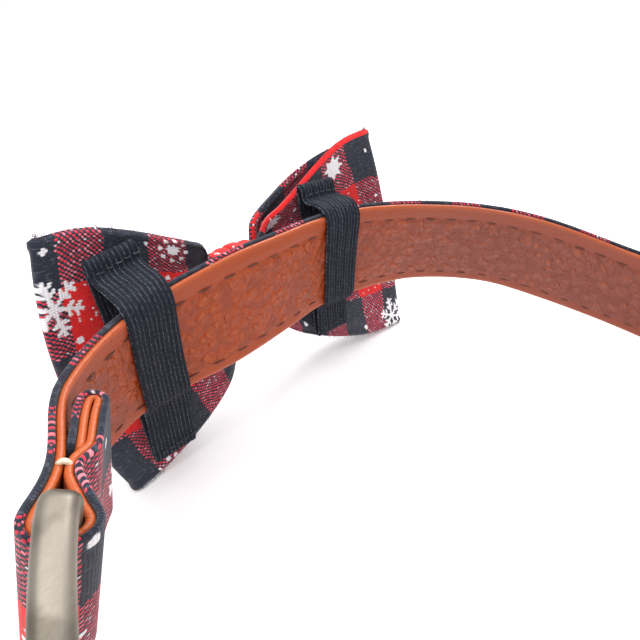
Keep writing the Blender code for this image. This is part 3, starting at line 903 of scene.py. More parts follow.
@dataclass(frozen=True)
class MetalFinish(Finish):
    """Satin metal with faint brushing and worn patches."""

    body: Colour = tone(146, 139, 128)
    dull: Colour = tone(112, 106, 96)
    brushing: tuple[float, float, float] = (1500.0, 1500.0, 9000.0)

    def build(self, groups: ShaderGroups) -> bpy.types.Material:
        """Make the material."""
        board, shader, made = self.begin()
        place = board.solid()
        brushed = board.noise(board.vector("MULTIPLY", place, self.brushing), 1.0, 3.0)
        worn = board.remap(board.noise(place, 180.0, 3.0), 0.4, 0.65)
        board.feed(shader.inputs["Base Color"], board.blend(worn, self.body, self.dull))
        board.feed(shader.inputs["Roughness"], self.roughness - 0.1 + brushed * 0.2)
        board.feed(shader.inputs["Normal"], board.bump(brushed, 0.25, 0.00003))
        return made


@dataclass(frozen=True)
class ThreadFinish(Finish):
    """Twisted sewing thread."""

    body: Colour = tone(66, 30, 20)
    light: Colour = tone(106, 56, 40)
    strand_scale: float = 4200.0

    def build(self, groups: ShaderGroups) -> bpy.types.Material:
        """Make the material."""
        board, shader, made = self.begin()
        strands = board.noise(board.solid(), self.strand_scale)
        colour = board.blend(board.remap(strands, 0.35, 0.65), self.body, self.light)
        board.feed(shader.inputs["Base Color"], colour)
        board.feed(shader.inputs["Normal"], board.bump(strands, 0.6, 0.00004))
        return made


@dataclass(frozen=True)
class FloorFinish(Finish):
    """Plain pale table, lifted a little as by a bright room."""

    body: Colour = (0.93, 0.93, 0.94)
    glow: float = 0.1

    def build(self, groups: ShaderGroups) -> bpy.types.Material:
        """Make the material."""
        _, shader, made = self.begin()
        shader.inputs["Base Color"].default_value = (*self.body, 1.0)
        shader.inputs["Emission Color"].default_value = (1.0, 1.0, 1.0, 1.0)
        shader.inputs["Emission Strength"].default_value = self.glow
        return made


@dataclass(frozen=True)
class Finishes:
    """Every material of the collar, made once."""

    leather: bpy.types.Material
    strap_cloth: bpy.types.Material
    bow_cloth: bpy.types.Material
    elastic: bpy.types.Material
    metal: bpy.types.Material
    seam_thread: bpy.types.Material
    elastic_thread: bpy.types.Material
    hem_thread: bpy.types.Material
    fuzz: bpy.types.Material
    floor: bpy.types.Material


# Kind, place along, place up, size and turn of each printed motif, in millimetres on the cloth
BOW_PRINTS = (
    (Motif.FLAKE, 1.5, 14.0, 4.4, 0.3),
    (Motif.RING, 20.7, 21.4, 2.7, 0.1),
    (Motif.STAR, 60.1, 20.6, 2.7, 0.2),
    (Motif.FLAKE, 68.0, -22.4, 3.4, 0.35),
    (Motif.STAR, 43.4, 21.7, 2.2, 0.0),
    (Motif.FLAKE, 28.0, -13.0, 4.3, 0.3),
    (Motif.RING, 8.0, -8.0, 2.7, 0.3),
    (Motif.FLAKE, 86.0, 13.0, 4.3, 0.2),
    (Motif.STAR, 97.0, -3.0, 2.7, 0.0),
    (Motif.RING, 84.0, -13.0, 2.7, 0.1),
    (Motif.FLAKE, 118.0, -10.0, 4.3, 0.4),
    (Motif.STAR, 111.0, 14.0, 2.7, 0.3),
    (Motif.RING, 130.0, 6.0, 2.7, 0.2),
)

# Place along, place up and radius of each printed dot
BOW_DOTS = (
    (1.1, 22.4, 0.55),
    (16.1, 22.3, 0.42),
    (13.8, 19.8, 0.42),
    (4.15, 8.0, 0.7),
    (3.4, 5.3, 0.4),
    (19.4, 14.8, 0.5),
    (18.4, 12.4, 0.45),
    (68.7, 20.3, 0.42),
    (68.8, 10.5, 0.42),
    (48.8, 19.8, 0.55),
    (59.1, -23.0, 0.6),
    (40.2, -21.3, 0.5),
    (7.4, -23.6, 0.5),
    (8.9, -24.1, 0.45),
    (10.3, -22.8, 0.4),
    (5.2, -24.0, 0.4),
    (33.0, 4.0, 0.8),
    (91.0, -20.0, 0.9),
    (104.0, 6.0, 0.9),
    (104.0, -15.0, 0.6),
    (124.0, 16.0, 0.9),
    (124.0, -1.0, 0.6),
    (90.0, 3.0, 0.6),
)

STRAP_PRINTS = (
    (Motif.FLAKE, 8.0, -4.0, 4.3, 0.2),
    (Motif.STAR, 21.0, 3.0, 2.6, 0.0),
    (Motif.RING, 33.0, -5.0, 2.6, 0.1),
    (Motif.FLAKE, 46.0, 4.5, 4.3, 0.45),
)

STRAP_DOTS = (
    (14.5, 6.0, 0.7),
    (16.0, -8.2, 0.8),
    (27.0, -1.0, 0.9),
    (39.0, 2.0, 0.6),
    (53.0, -5.0, 0.9),
    (30.0, 8.8, 0.8),
)

# Name, node, place along half of the bow, rise of the upper tab over the strap and drop of the lower one
ELASTIC_ROWS = (
    ("elastic_left_loop", "elastic_left", 0.664, 4.7, 14.0),
    ("elastic_right_loop", "elastic_right", -0.454, 3.8, 8.0),
)

# Place, depth and pattern of each crease along the knot
KNOT_CREASES = ((-0.45, 0.34, 1), (0.12, 0.42, 2), (0.62, 0.28, 3))

# Name, place, size and power of each soft light
LAMPS = (("window", (-365.0, -190.0, 400.0), 260.0, 2.0), ("overhead", (60.0, 60.0, 520.0), 420.0, 1.7))


def make_finishes() -> Finishes:
    """Build the shared groups and every material."""
    groups = ShaderGroups()
    strap_cloth = ClothFinish(
        "strap_check_cloth",
        0.88,
        row_start=0.5,
        skew=0.0,
        lean=0.0,
        prints=STRAP_PRINTS,
        dots=STRAP_DOTS,
        repeat=(56.0, 40.0),
    )
    bow_cloth = ClothFinish(
        "bow_check_cloth", 0.88, prints=BOW_PRINTS, dots=BOW_DOTS, red_rim=(23.5, 40.0, 72.0)
    )
    cream, cream_light = tone(222, 205, 176), tone(244, 234, 214)
    return Finishes(
        leather=LeatherFinish("pebbled_leather", 0.43).build(groups),
        strap_cloth=strap_cloth.build(groups),
        bow_cloth=bow_cloth.build(groups),
        elastic=ElasticFinish("ribbed_elastic", 0.8).build(groups),
        metal=MetalFinish("satin_metal", 0.5, 1.0).build(groups),
        seam_thread=ThreadFinish("brown_seam_thread", 0.7).build(groups),
        elastic_thread=ThreadFinish(
            "black_seam_thread", 0.8, body=tone(24, 26, 32), light=tone(60, 64, 72)
        ).build(groups),
        hem_thread=ThreadFinish("cream_hem_thread", 0.7, body=cream, light=cream_light).build(groups),
        fuzz=ThreadFinish("loose_fibre", 0.9, body=tone(58, 60, 72), light=tone(112, 66, 76)).build(groups),
        floor=FloorFinish("pale_table", 0.55).build(groups),
    )


@dataclass(frozen=True)
class StrandSize:
    """A short bent strand of thread, in millimetres."""

    length: float
    thickness: float
    dip: float
    rise: float
    sides: int = 6
    steps: int = 6


class StrandMaker:
    """Lays short bent strands at given points, by one Geometry Nodes tree."""

    INPUTS = {
        "Length": "Float",
        "Thickness": "Float",
        "Dip": "Float",
        "Rise": "Float",
        "Sides": "Int",
        "Steps": "Int",
        "Thread": "Material",
    }

    def __init__(self) -> None:
        """Build the tree with its named inputs."""
        self.tree = bpy.data.node_groups.new("laid_strands", "GeometryNodeTree")
        face = self.tree.interface
        self.sockets = {}
        face.new_socket(name="Geometry", in_out="INPUT", socket_type="NodeSocketGeometry")
        for label, kind in self.INPUTS.items():
            socket = face.new_socket(name=label, in_out="INPUT", socket_type="NodeSocket" + kind)
            self.sockets[label] = socket.identifier
        face.new_socket(name="Geometry", in_out="OUTPUT", socket_type="NodeSocketGeometry")
        board = NodeBoard(self.tree)
        given = board.results(board.add("NodeGroupInput"))
        reach, low = given["Length"] * 0.5, given["Dip"] * -1.0
        bend = {
            "Resolution": given["Steps"],
            "Start": board.join(reach * -1.0, 0.0, low),
            "Middle": board.join(0.0, 0.0, given["Rise"]),
            "End": board.join(reach, 0.0, low),
        }
        arc = board.get(board.add("GeometryNodeCurveQuadraticBezier", bend))
        outline = {"Resolution": given["Sides"], "Radius": given["Thickness"] * 0.5}
        ring = board.get(board.add("GeometryNodeCurvePrimitiveCircle", outline))
        swept = {"Curve": arc, "Profile Curve": ring, "Fill Caps": True}
        tube = board.get(board.add("GeometryNodeCurveToMesh", swept))
        run = {"Vector": self.named(board, "run")}
        turned = board.get(board.add("FunctionNodeAlignRotationToVector", run, axis="X"))
        away = {"Rotation": turned, "Vector": self.named(board, "away")}
        faced = board.add("FunctionNodeAlignRotationToVector", away, axis="Z", pivot_axis="X")
        laid = {"Points": given["Geometry"], "Instance": tube, "Rotation": board.get(faced)}
        strands = board.get(board.add("GeometryNodeInstanceOnPoints", laid))
        for kind in ("GeometryNodeRealizeInstances", "GeometryNodeSetShadeSmooth"):
            strands = board.get(board.add(kind, {"Geometry": strands}))
        dressed = board.add("GeometryNodeSetMaterial", {"Geometry": strands, "Material": given["Thread"]})
        board.add("NodeGroupOutput", {"Geometry": board.get(dressed)})

    @staticmethod
    def named(board: NodeBoard, name: str) -> Value:
        """A vector stored on the points under a name."""
        node = board.add("GeometryNodeInputNamedAttribute", {"Name": name}, data_type="FLOAT_VECTOR")
        return board.get(node, "Attribute")

    def lay(
        self,
        name: str,
        places: Array,
        runs: Array,
        aways: Array,
        size: StrandSize,
        material: bpy.types.Material,
    ) -> bpy.types.Object:
        """Lay strands and keep them as one plain mesh.

        Args:
            name: Name of the piece.
            places: Middles of the strands in millimetres.
            runs: Directions that they run in.
            aways: Directions away from the face under them.
            size: Size of one strand in millimetres.
            material: Finish of the strands.

        Returns:
            The piece.
        """
        points = bpy.data.meshes.new(name + "_points")
        points.from_pydata((places * MM).tolist(), [], [])
        for label, rows in (("run", runs), ("away", aways)):
            stored = points.attributes.new(label, "FLOAT_VECTOR", "POINT")
            stored.data.foreach_set("vector", np.ascontiguousarray(rows, dtype=np.float32).ravel())
        piece = bpy.data.objects.new(name, points)
        bpy.context.scene.collection.objects.link(piece)
        modifier = piece.modifiers.new("strands", "NODES")
        modifier.node_group = self.tree
        lengths = {"Length": size.length, "Thickness": size.thickness, "Dip": size.dip, "Rise": size.rise}
        for label, value in lengths.items():
            modifier[self.sockets[label]] = value * MM
        modifier[self.sockets["Sides"]] = size.sides
        modifier[self.sockets["Steps"]] = size.steps
        modifier[self.sockets["Thread"]] = material
        evaluated = piece.evaluated_get(bpy.context.evaluated_depsgraph_get())
        mesh = bpy.data.meshes.new_from_object(evaluated)
        piece.modifiers.remove(modifier)
        piece.data = mesh
        mesh.name = name
        bpy.data.meshes.remove(points)
        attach(piece, "root")
        return piece


@dataclass
class StrapLine:
    """The closed centre line of the strap, read by its length from the middle of the clasp."""

    width: float = 20.0
    across: float = 128.0
    deep: float = 128.0
    lift: float = 20.0
    lean: float = 19.0
    clasp_row: int = 4
    clasp_shift: float = 10.2
    cover_out: float = 1.15
    shift: Array = field(default_factory=lambda: np.zeros(3))

    def __post_init__(self) -> None:
        """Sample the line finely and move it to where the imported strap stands."""
        table = np.array(LOOP_ROWS) * (self.across, self.deep, self.lift, self.lean)
        turns = self.clasp_row + np.linspace(0.0, len(table), len(table) * 96 + 1)
        self.places = self.place(table, turns)
        run = self.place(table, turns + 0.05) - self.place(table, turns - 0.05)
        inward = np.column_stack((-run[:, 1], run[:, 0], np.zeros(len(run))))
        inward /= np.linalg.norm(inward, axis=1)[:, None]
        lean = np.radians(np.maximum(0.0, closed_curve(table[:, 3], turns)))[:, None]
        up = np.array([[0.0, 0.0, 1.0]])
        self.tall = up * np.cos(lean) + inward * np.sin(lean)
        self.inside = inward * np.cos(lean) - up * np.sin(lean)
        steps = np.linalg.norm(np.diff(self.places, axis=0), axis=1)
        self.lengths = np.concatenate(([0.0], np.cumsum(steps)))
        self.length = float(self.lengths[-1])
        knot_low, knot_high = (np.array(corner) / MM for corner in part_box("bow_knot"))
        cover_high = np.array(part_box("strap_cover")[1]) / MM
        back = self.places[:, 1].max() + self.cover_out
        self.shift = np.array([(knot_low[0] + knot_high[0]) / 2, cover_high[1] - back, 0.0])
        self.places = self.places + self.shift

    def place(self, table: Array, turns: Array) -> Array:
        """Points of the centre line, never lower than the strap lies on the table."""
        height = self.width / 2 + np.maximum(0.0, closed_curve(table[:, 2], turns))
        return np.column_stack((closed_curve(table[:, 0], turns), closed_curve(table[:, 1], turns), height))

    def at(self, along: Array) -> tuple[Array, Array, Array]:
        """Points, inward directions and upward directions at lengths along the line."""
        along = (np.asarray(along, float) + self.clasp_shift) % self.length
        parts = []
        for rows in (self.places, self.inside, self.tall):
            parts.append(np.stack([np.interp(along, self.lengths, rows[:, k]) for k in range(3)], axis=-1))
        return parts[0], parts[1], parts[2]

    def point(self, along: Array, inside: Array, height: Array) -> Array:
        """World points at lengths along, depths to the inside and heights across the strap."""
        along, inside, height = np.broadcast_arrays(along, inside, height)
        middle, deep, tall = self.at(along)
        return middle + deep * inside[..., None] + tall * height[..., None]

    def run(self, along: Array, inside: Array, height: Array) -> Array:
        """The strap's way at places on it, each a step of about a millimetre."""
        return self.point(along + 0.5, inside, height) - self.point(along - 0.5, inside, height)

    def along_at(self, across: float) -> float:
        """Length along the line where its bow side crosses a world X."""
        near = self.places[:, 1] < self.shift[1] + self.deep * 0.3
        gap = np.where(near, np.abs(self.places[:, 0] - across), np.inf)
        return float(self.lengths[int(np.argmin(gap))] - self.clasp_shift)


@dataclass
class Strap:
    """Leather lining and cloth cover, folded round the clasp's bars and hemmed at both ends."""

    line: StrapLine
    leather: float = 0.9
    cloth: float = 0.75
    seam: float = 0.04
    leather_width: float = 19.4
    cloth_width: float = 20.0
    bar: float = 13.4
    bar_deep: float = 2.6
    wrap: float = 2.95
    hem_start: float = 8.2
    hem_length: float = 7.8
    hem_gape: float = 1.0
    nip: float = 1.7
    step: float = 0.5
    upper_row: float = 6.6
    lower_row: float = -7.7
    stitch_pitch: float = 4.6
    stitch_length: float = 3.0
    seam_leather: float = 0.8
    seam_cloth: float = -0.72
    fibres: int = 900

    def profile(self) -> Array:
        """The seam between lining and cover from one hemmed end to the other, seen from above.

        Returns:
            Evenly spaced rows of length along and depth to the inside.
        """
        start, end = self.bar + self.hem_start, self.bar + self.hem_start + self.hem_length
        tail = self.leather + self.cloth + 2 * self.seam
        hairpin = self.leather + 0.1
        gape = tail + self.hem_gape
        back = tail + 2 * hairpin - 0.1
        first = [(start, tail), (end, gape)]
        first += self.arc((end, gape + hairpin), hairpin, -90, 90)[1:]
        near = 2 * self.leather + 0.5 * self.seam
        first += [(start, back), (start - self.nip + 0.4, near), (start - self.nip - 0.8, near)]
        first += self.arc((self.bar, self.bar_deep), self.wrap, 62, 280)
        first += [(start - self.nip, 0.0)]
        last = [(self.line.length - place, inside) for place, inside in reversed(first)]
        path = evenly(np.array(first + last), self.step)
        for _ in range(3):
            path[1:-1] = (path[:-2] + 2 * path[1:-1] + path[2:]) / 4
        return evenly(path, self.step)

    @staticmethod
    def arc(
        middle: tuple[float, float], radius: float, start: float, end: float
    ) -> list[tuple[float, float]]:
        """Points on an arc in the plan of a fold, angles in degrees."""
        angles = np.radians(np.linspace(start, end, 17))
        return [(middle[0] + radius * math.cos(a), middle[1] + radius * math.sin(a)) for a in angles]

    def section(self, width: float, near: float, far: float, fine: int) -> Array:
        """The rounded outline of one layer across the strap.

        Args:
            width: Width of the layer.
            near: Offset of its face towards the cover's side.
            far: Offset of its face towards the lining's side.
            fine: Number of steps on the far face.

        Returns:
            Rows of height across, offset and share on the far face.
        """
        round_off = (far - near) * 0.45
        straight, middle, thick = width / 2 - round_off, (near + far) / 2, (far - near) / 2
        rows = [(height, far) for height in np.linspace(-straight, straight, fine + 1)]
        for angle in np.radians(np.linspace(75, -75, 6)):
            rows.append((straight + round_off * math.cos(angle), middle + thick * math.sin(angle)))
        rows += [(height, near) for height in np.linspace(straight, -straight, max(8, fine // 3))]
        for angle in np.radians(np.linspace(255, 105, 6)):
            rows.append((-straight + round_off * math.cos(angle), middle + thick * math.sin(angle)))
        return np.array(rows)

    def layer(self, name: str, section: Array, relief: Array, finish: bpy.types.Material) -> bpy.types.Object:
        """Sweep one layer's outline along the folded profile.

        Args:
            name: Name of the piece.
            section: The layer's outline.
            relief: Extra offset of each outline point at each station.
            finish: Material of the layer.

        Returns:
            The finished object.
        """
        path = self.profile()
        runs = np.gradient(path, axis=0)
        sides = np.column_stack((-runs[:, 1], runs[:, 0])) / np.linalg.norm(runs, axis=1)[:, None]
        offset = section[None, :, 1] + relief
        flat = path[:, None, :] + sides[:, None, :] * offset[..., None]
        grid = self.line.point(flat[..., 0], flat[..., 1], np.broadcast_to(section[None, :, 0], offset.shape))
        walked = np.arange(len(path))[::-1] * self.step
        heights = np.append(section[:, 0], section[0, 0])
        uv = np.stack(np.meshgrid(walked, heights, indexing="ij"), axis=-1)
        mesh = GridMesh()
        base = mesh.add(grid, uv, wrap_columns=True)
        count = len(section)
        last = base + (len(path) - 1) * count
        mesh.cap([base + k for k in range(count)], uv[0, :count])
        mesh.cap([last + k for k in reversed(range(count))], uv[-1, :count][::-1])
        return mesh.build(name, finish)

    def leather_relief(self, section: Array, far: float) -> Array:
        """Sunk sewing lines, puckers at the needle holes and soft creases of the leather's face."""
        path = self.profile()
        walked = (np.arange(len(path))[::-1] * self.step)[:, None]
        height = section[None, :, 0]
        face = (section[None, :, 1] >= far - 1e-6).astype(float)
        relief = 0.05 * soft_noise(walked / 9.0, height / 6.0, 3)
        relief = relief + 0.03 * soft_noise(walked / 2.6, height / 2.2, 5)
        inside = smooth_step(-height, -self.upper_row - 0.2, -self.upper_row + 1.0)
        inside = inside * smooth_step(height, self.lower_row - 0.2, self.lower_row + 1.0)
        relief = relief + 0.1 * inside * (pebbles(walked + 0.4 * height, height, 1.9, 21) - 0.4)
        for row in (self.upper_row, self.lower_row):
            near = np.exp(-(((height - row) / 0.55) ** 2))
            phase = np.cos(2 * math.pi * walked / self.stitch_pitch)
            relief = relief - near * (0.16 + 0.07 * phase)
            relief = relief + 0.05 * np.exp(-(((np.abs(height - row) - 1.2) / 0.6) ** 2))
        return relief * face

    def sewn_row(self, height: float, inside: float) -> tuple[Array, Array, Array]:
        """Where the stitches of one row lie on the main leg of the strap.

        Args:
            height: Height of the row across the strap.
            inside: Depth of the face that they lie on, from the seam between the layers.

        Returns:
            Middles of the stitches, their run and the direction away from the face.
        """
        start = self.bar + self.hem_start + 1.0
        count = round((self.line.length - 2 * start) / self.stitch_pitch)
        along = np.linspace(start, self.line.length - start, count)
        away = self.line.at(along)[1] * (1.0 if inside > 0 else -1.0)
        run = self.line.run(along, inside, height)
        run = run + self.line.at(along)[2] * 0.06 * soft_noise(along, np.full(count, height), 12)[:, None]
        sway = 0.12 * soft_noise(along / 5.0, np.full(count, height), 9)
        return self.line.point(along, np.full(count, inside), height + sway), run, away

    def sew(self, strands: "StrandMaker", finishes: Finishes) -> list[bpy.types.Object]:
        """Lay the two sewn rows on both faces of the strap, and the cross row at the clasp's hem."""
        size = StrandSize(self.stitch_length, 0.36, 0.34, 0.42)
        faces = (
            ("lining_stitches", self.seam_leather, "leather"),
            ("cover_stitches", self.seam_cloth, "strap_plaid"),
        )
        made = []
        for name, inside, slot in faces:
            rows = [self.sewn_row(height, inside) for height in (self.upper_row, self.lower_row)]
            places, runs, aways = (np.concatenate(parts) for parts in zip(*rows))
            made.append(strands.lay(name, places, runs, aways, size, finishes.seam_thread))
        near = self.bar + self.hem_start - self.nip
        ends = np.array([near, near, self.line.length - near, self.line.length - near])
        deep, tall = np.array([0.95, 0.9, 0.95, 0.9]), np.array([9.75, -9.75, 9.75, -9.75])
        _, inward, upward = self.line.at(ends)
        places, aways = self.line.point(ends, deep, tall), upward * np.sign(tall)[:, None]
        size = StrandSize(1.3, 0.62, 0.5, 0.8, 8, 8)
        made.append(strands.lay("hem_thread", places, inward, aways, size, finishes.hem_thread))
        return made

    def fray(self, strands: "StrandMaker", finishes: Finishes) -> bpy.types.Object:
        """Fine loose fibres along both cut edges of the cover."""
        rng = np.random.default_rng(7)
        along = rng.uniform(18.0, self.line.length - 18.0, self.fibres)
        side = rng.choice([-1.0, 1.0], self.fibres)
        inside = -self.seam / 2 - rng.uniform(0.1, 0.9, self.fibres) * self.cloth
        _, inward, upward = self.line.at(along)
        places = self.line.point(along, inside, side * self.cloth_width / 2)
        ahead = self.line.run(along, inside, 0.0)
        spread = rng.normal(0.0, 0.6, (3, self.fibres, 1))
        runs = ahead * (0.5 + np.abs(spread[0])) + upward * side[:, None] * 0.8 + inward * spread[1]
        aways = -inward + 0.4 * spread[2]
        size = StrandSize(0.9, 0.045, 0.0, 0.3, 3, 3)
        return strands.lay("cover_fibres", places, runs, aways, size, finishes.fuzz)

    def build(self, finishes: Finishes) -> list[bpy.types.Object]:
        """Make the lining and the cover and say what they stand for."""
        near, far = self.seam / 2, self.seam / 2 + self.leather
        section = self.section(self.leather_width, near, far, 40)
        relief = self.leather_relief(section, far)
        lining = self.layer("strap_lining_leather", section, relief, finishes.leather)
        stand_for(lining, "strap_lining")
        section = self.section(self.cloth_width, -near - self.cloth, -near, 20)
        stations = len(self.profile())
        plain = np.zeros((stations, len(section)))
        cover = self.layer("strap_cover_cloth", section, plain, finishes.strap_cloth)
        stand_for(cover, "strap_cover")
        length = (stations - 1) * self.step * MM
        return [lining, cover]


@dataclass
class BowPlace:
    """Where the bow stands, and its shape by out, layer and rise."""

    length: float = 71.0
    height: float = 48.5
    pinch: float = 13.0
    pinch_rise: float = 1.0
    puff: float = 7.4
    sweep: float = 3.6
    fold_depth: float = 3.2
    folds: int = 2
    tip_round: float = 0.11
    front_short: float = 0.13
    flare: float = 8.0
    lean: float = 3.2

    def __post_init__(self) -> None:
        """Take the bow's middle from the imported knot, which stands evenly about it."""
        low, high = (np.array(corner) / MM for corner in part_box("bow_knot"))
        angle = math.radians(self.lean)
        lift = np.array([0.0, -math.sin(angle), math.cos(angle)]) * self.pinch_rise
        self.middle = (low + high) / 2 - lift
        self.table = np.array(BOW_ROWS)

    @staticmethod
    def tipped(points: Array, angle: float) -> Array:
        """Points turned about the line along the bow."""
        x, y, z = np.moveaxis(points, -1, 0)
        cosine, sine = math.cos(angle), math.sin(angle)
        return np.stack((x, y * cosine - z * sine, z * cosine + y * sine), axis=-1)

    def world(self, local: Array) -> Array:
        """Points of the bow's own upright frame where the bow stands."""
        return self.tipped(local, math.radians(self.lean)) + self.middle

    def local(self, world: Array) -> Array:
        """World points in the bow's own upright frame."""
        return self.tipped(world - self.middle, -math.radians(self.lean))

    def share(self, column: int, out: Array) -> Array:
        """One column of the bow's table at shares of the way out."""
        return open_curve(self.table[:, 0], self.table[:, column], np.abs(out))

    def reach(self, out: Array, rise: Array) -> Array:
        """How far the cloth reaches from the pinch, on the side that out points to."""
        flare = np.where(out < 0.0, self.flare * ((1.0 - rise) / 2) ** 2.5, 0.0)
        return self.length / 2 * (1.0 - self.tip_round * rise**2) + flare

    def surface(self, out: Array, layer: Array, rise: Array) -> Array:
        """The cloth's middle surface in the bow's own frame.

        Args:
            out: From -1 to 1 along the bow.
            layer: From -1 for the front to 1 for the back.
            rise: From -1 at the bottom rim to 1 at the top rim.

        Returns:
            Points in the bow's frame.
        """
        out, layer, rise = np.broadcast_arrays(out, layer, rise)
        half = self.pinch / 2 + (self.height - self.pinch) / 2 * self.share(1, out)
        half = half * (1.0 - self.front_short * np.maximum(0.0, -layer))
        half = half * np.where((out < 0.0) & (rise < 0.0), 1.0 + rise * self.share(6, out), 1.0)
        wave = np.sin(math.pi * self.folds * rise)
        depth = layer * self.puff / 2 * self.share(2, out) + self.sweep * self.share(3, out)
        depth = depth + self.fold_depth / 2 * self.share(4, out) * wave
        crumple = (1.0 - np.abs(out)) ** 1.5
        depth = depth + 0.3 * crumple * np.sin(7.0 * math.pi * rise + 1.3 * layer + 2.0 * out)
        height = rise * half + self.pinch_rise * self.share(5, out)
        return np.stack((out * self.reach(out, rise), depth, height), axis=-1)


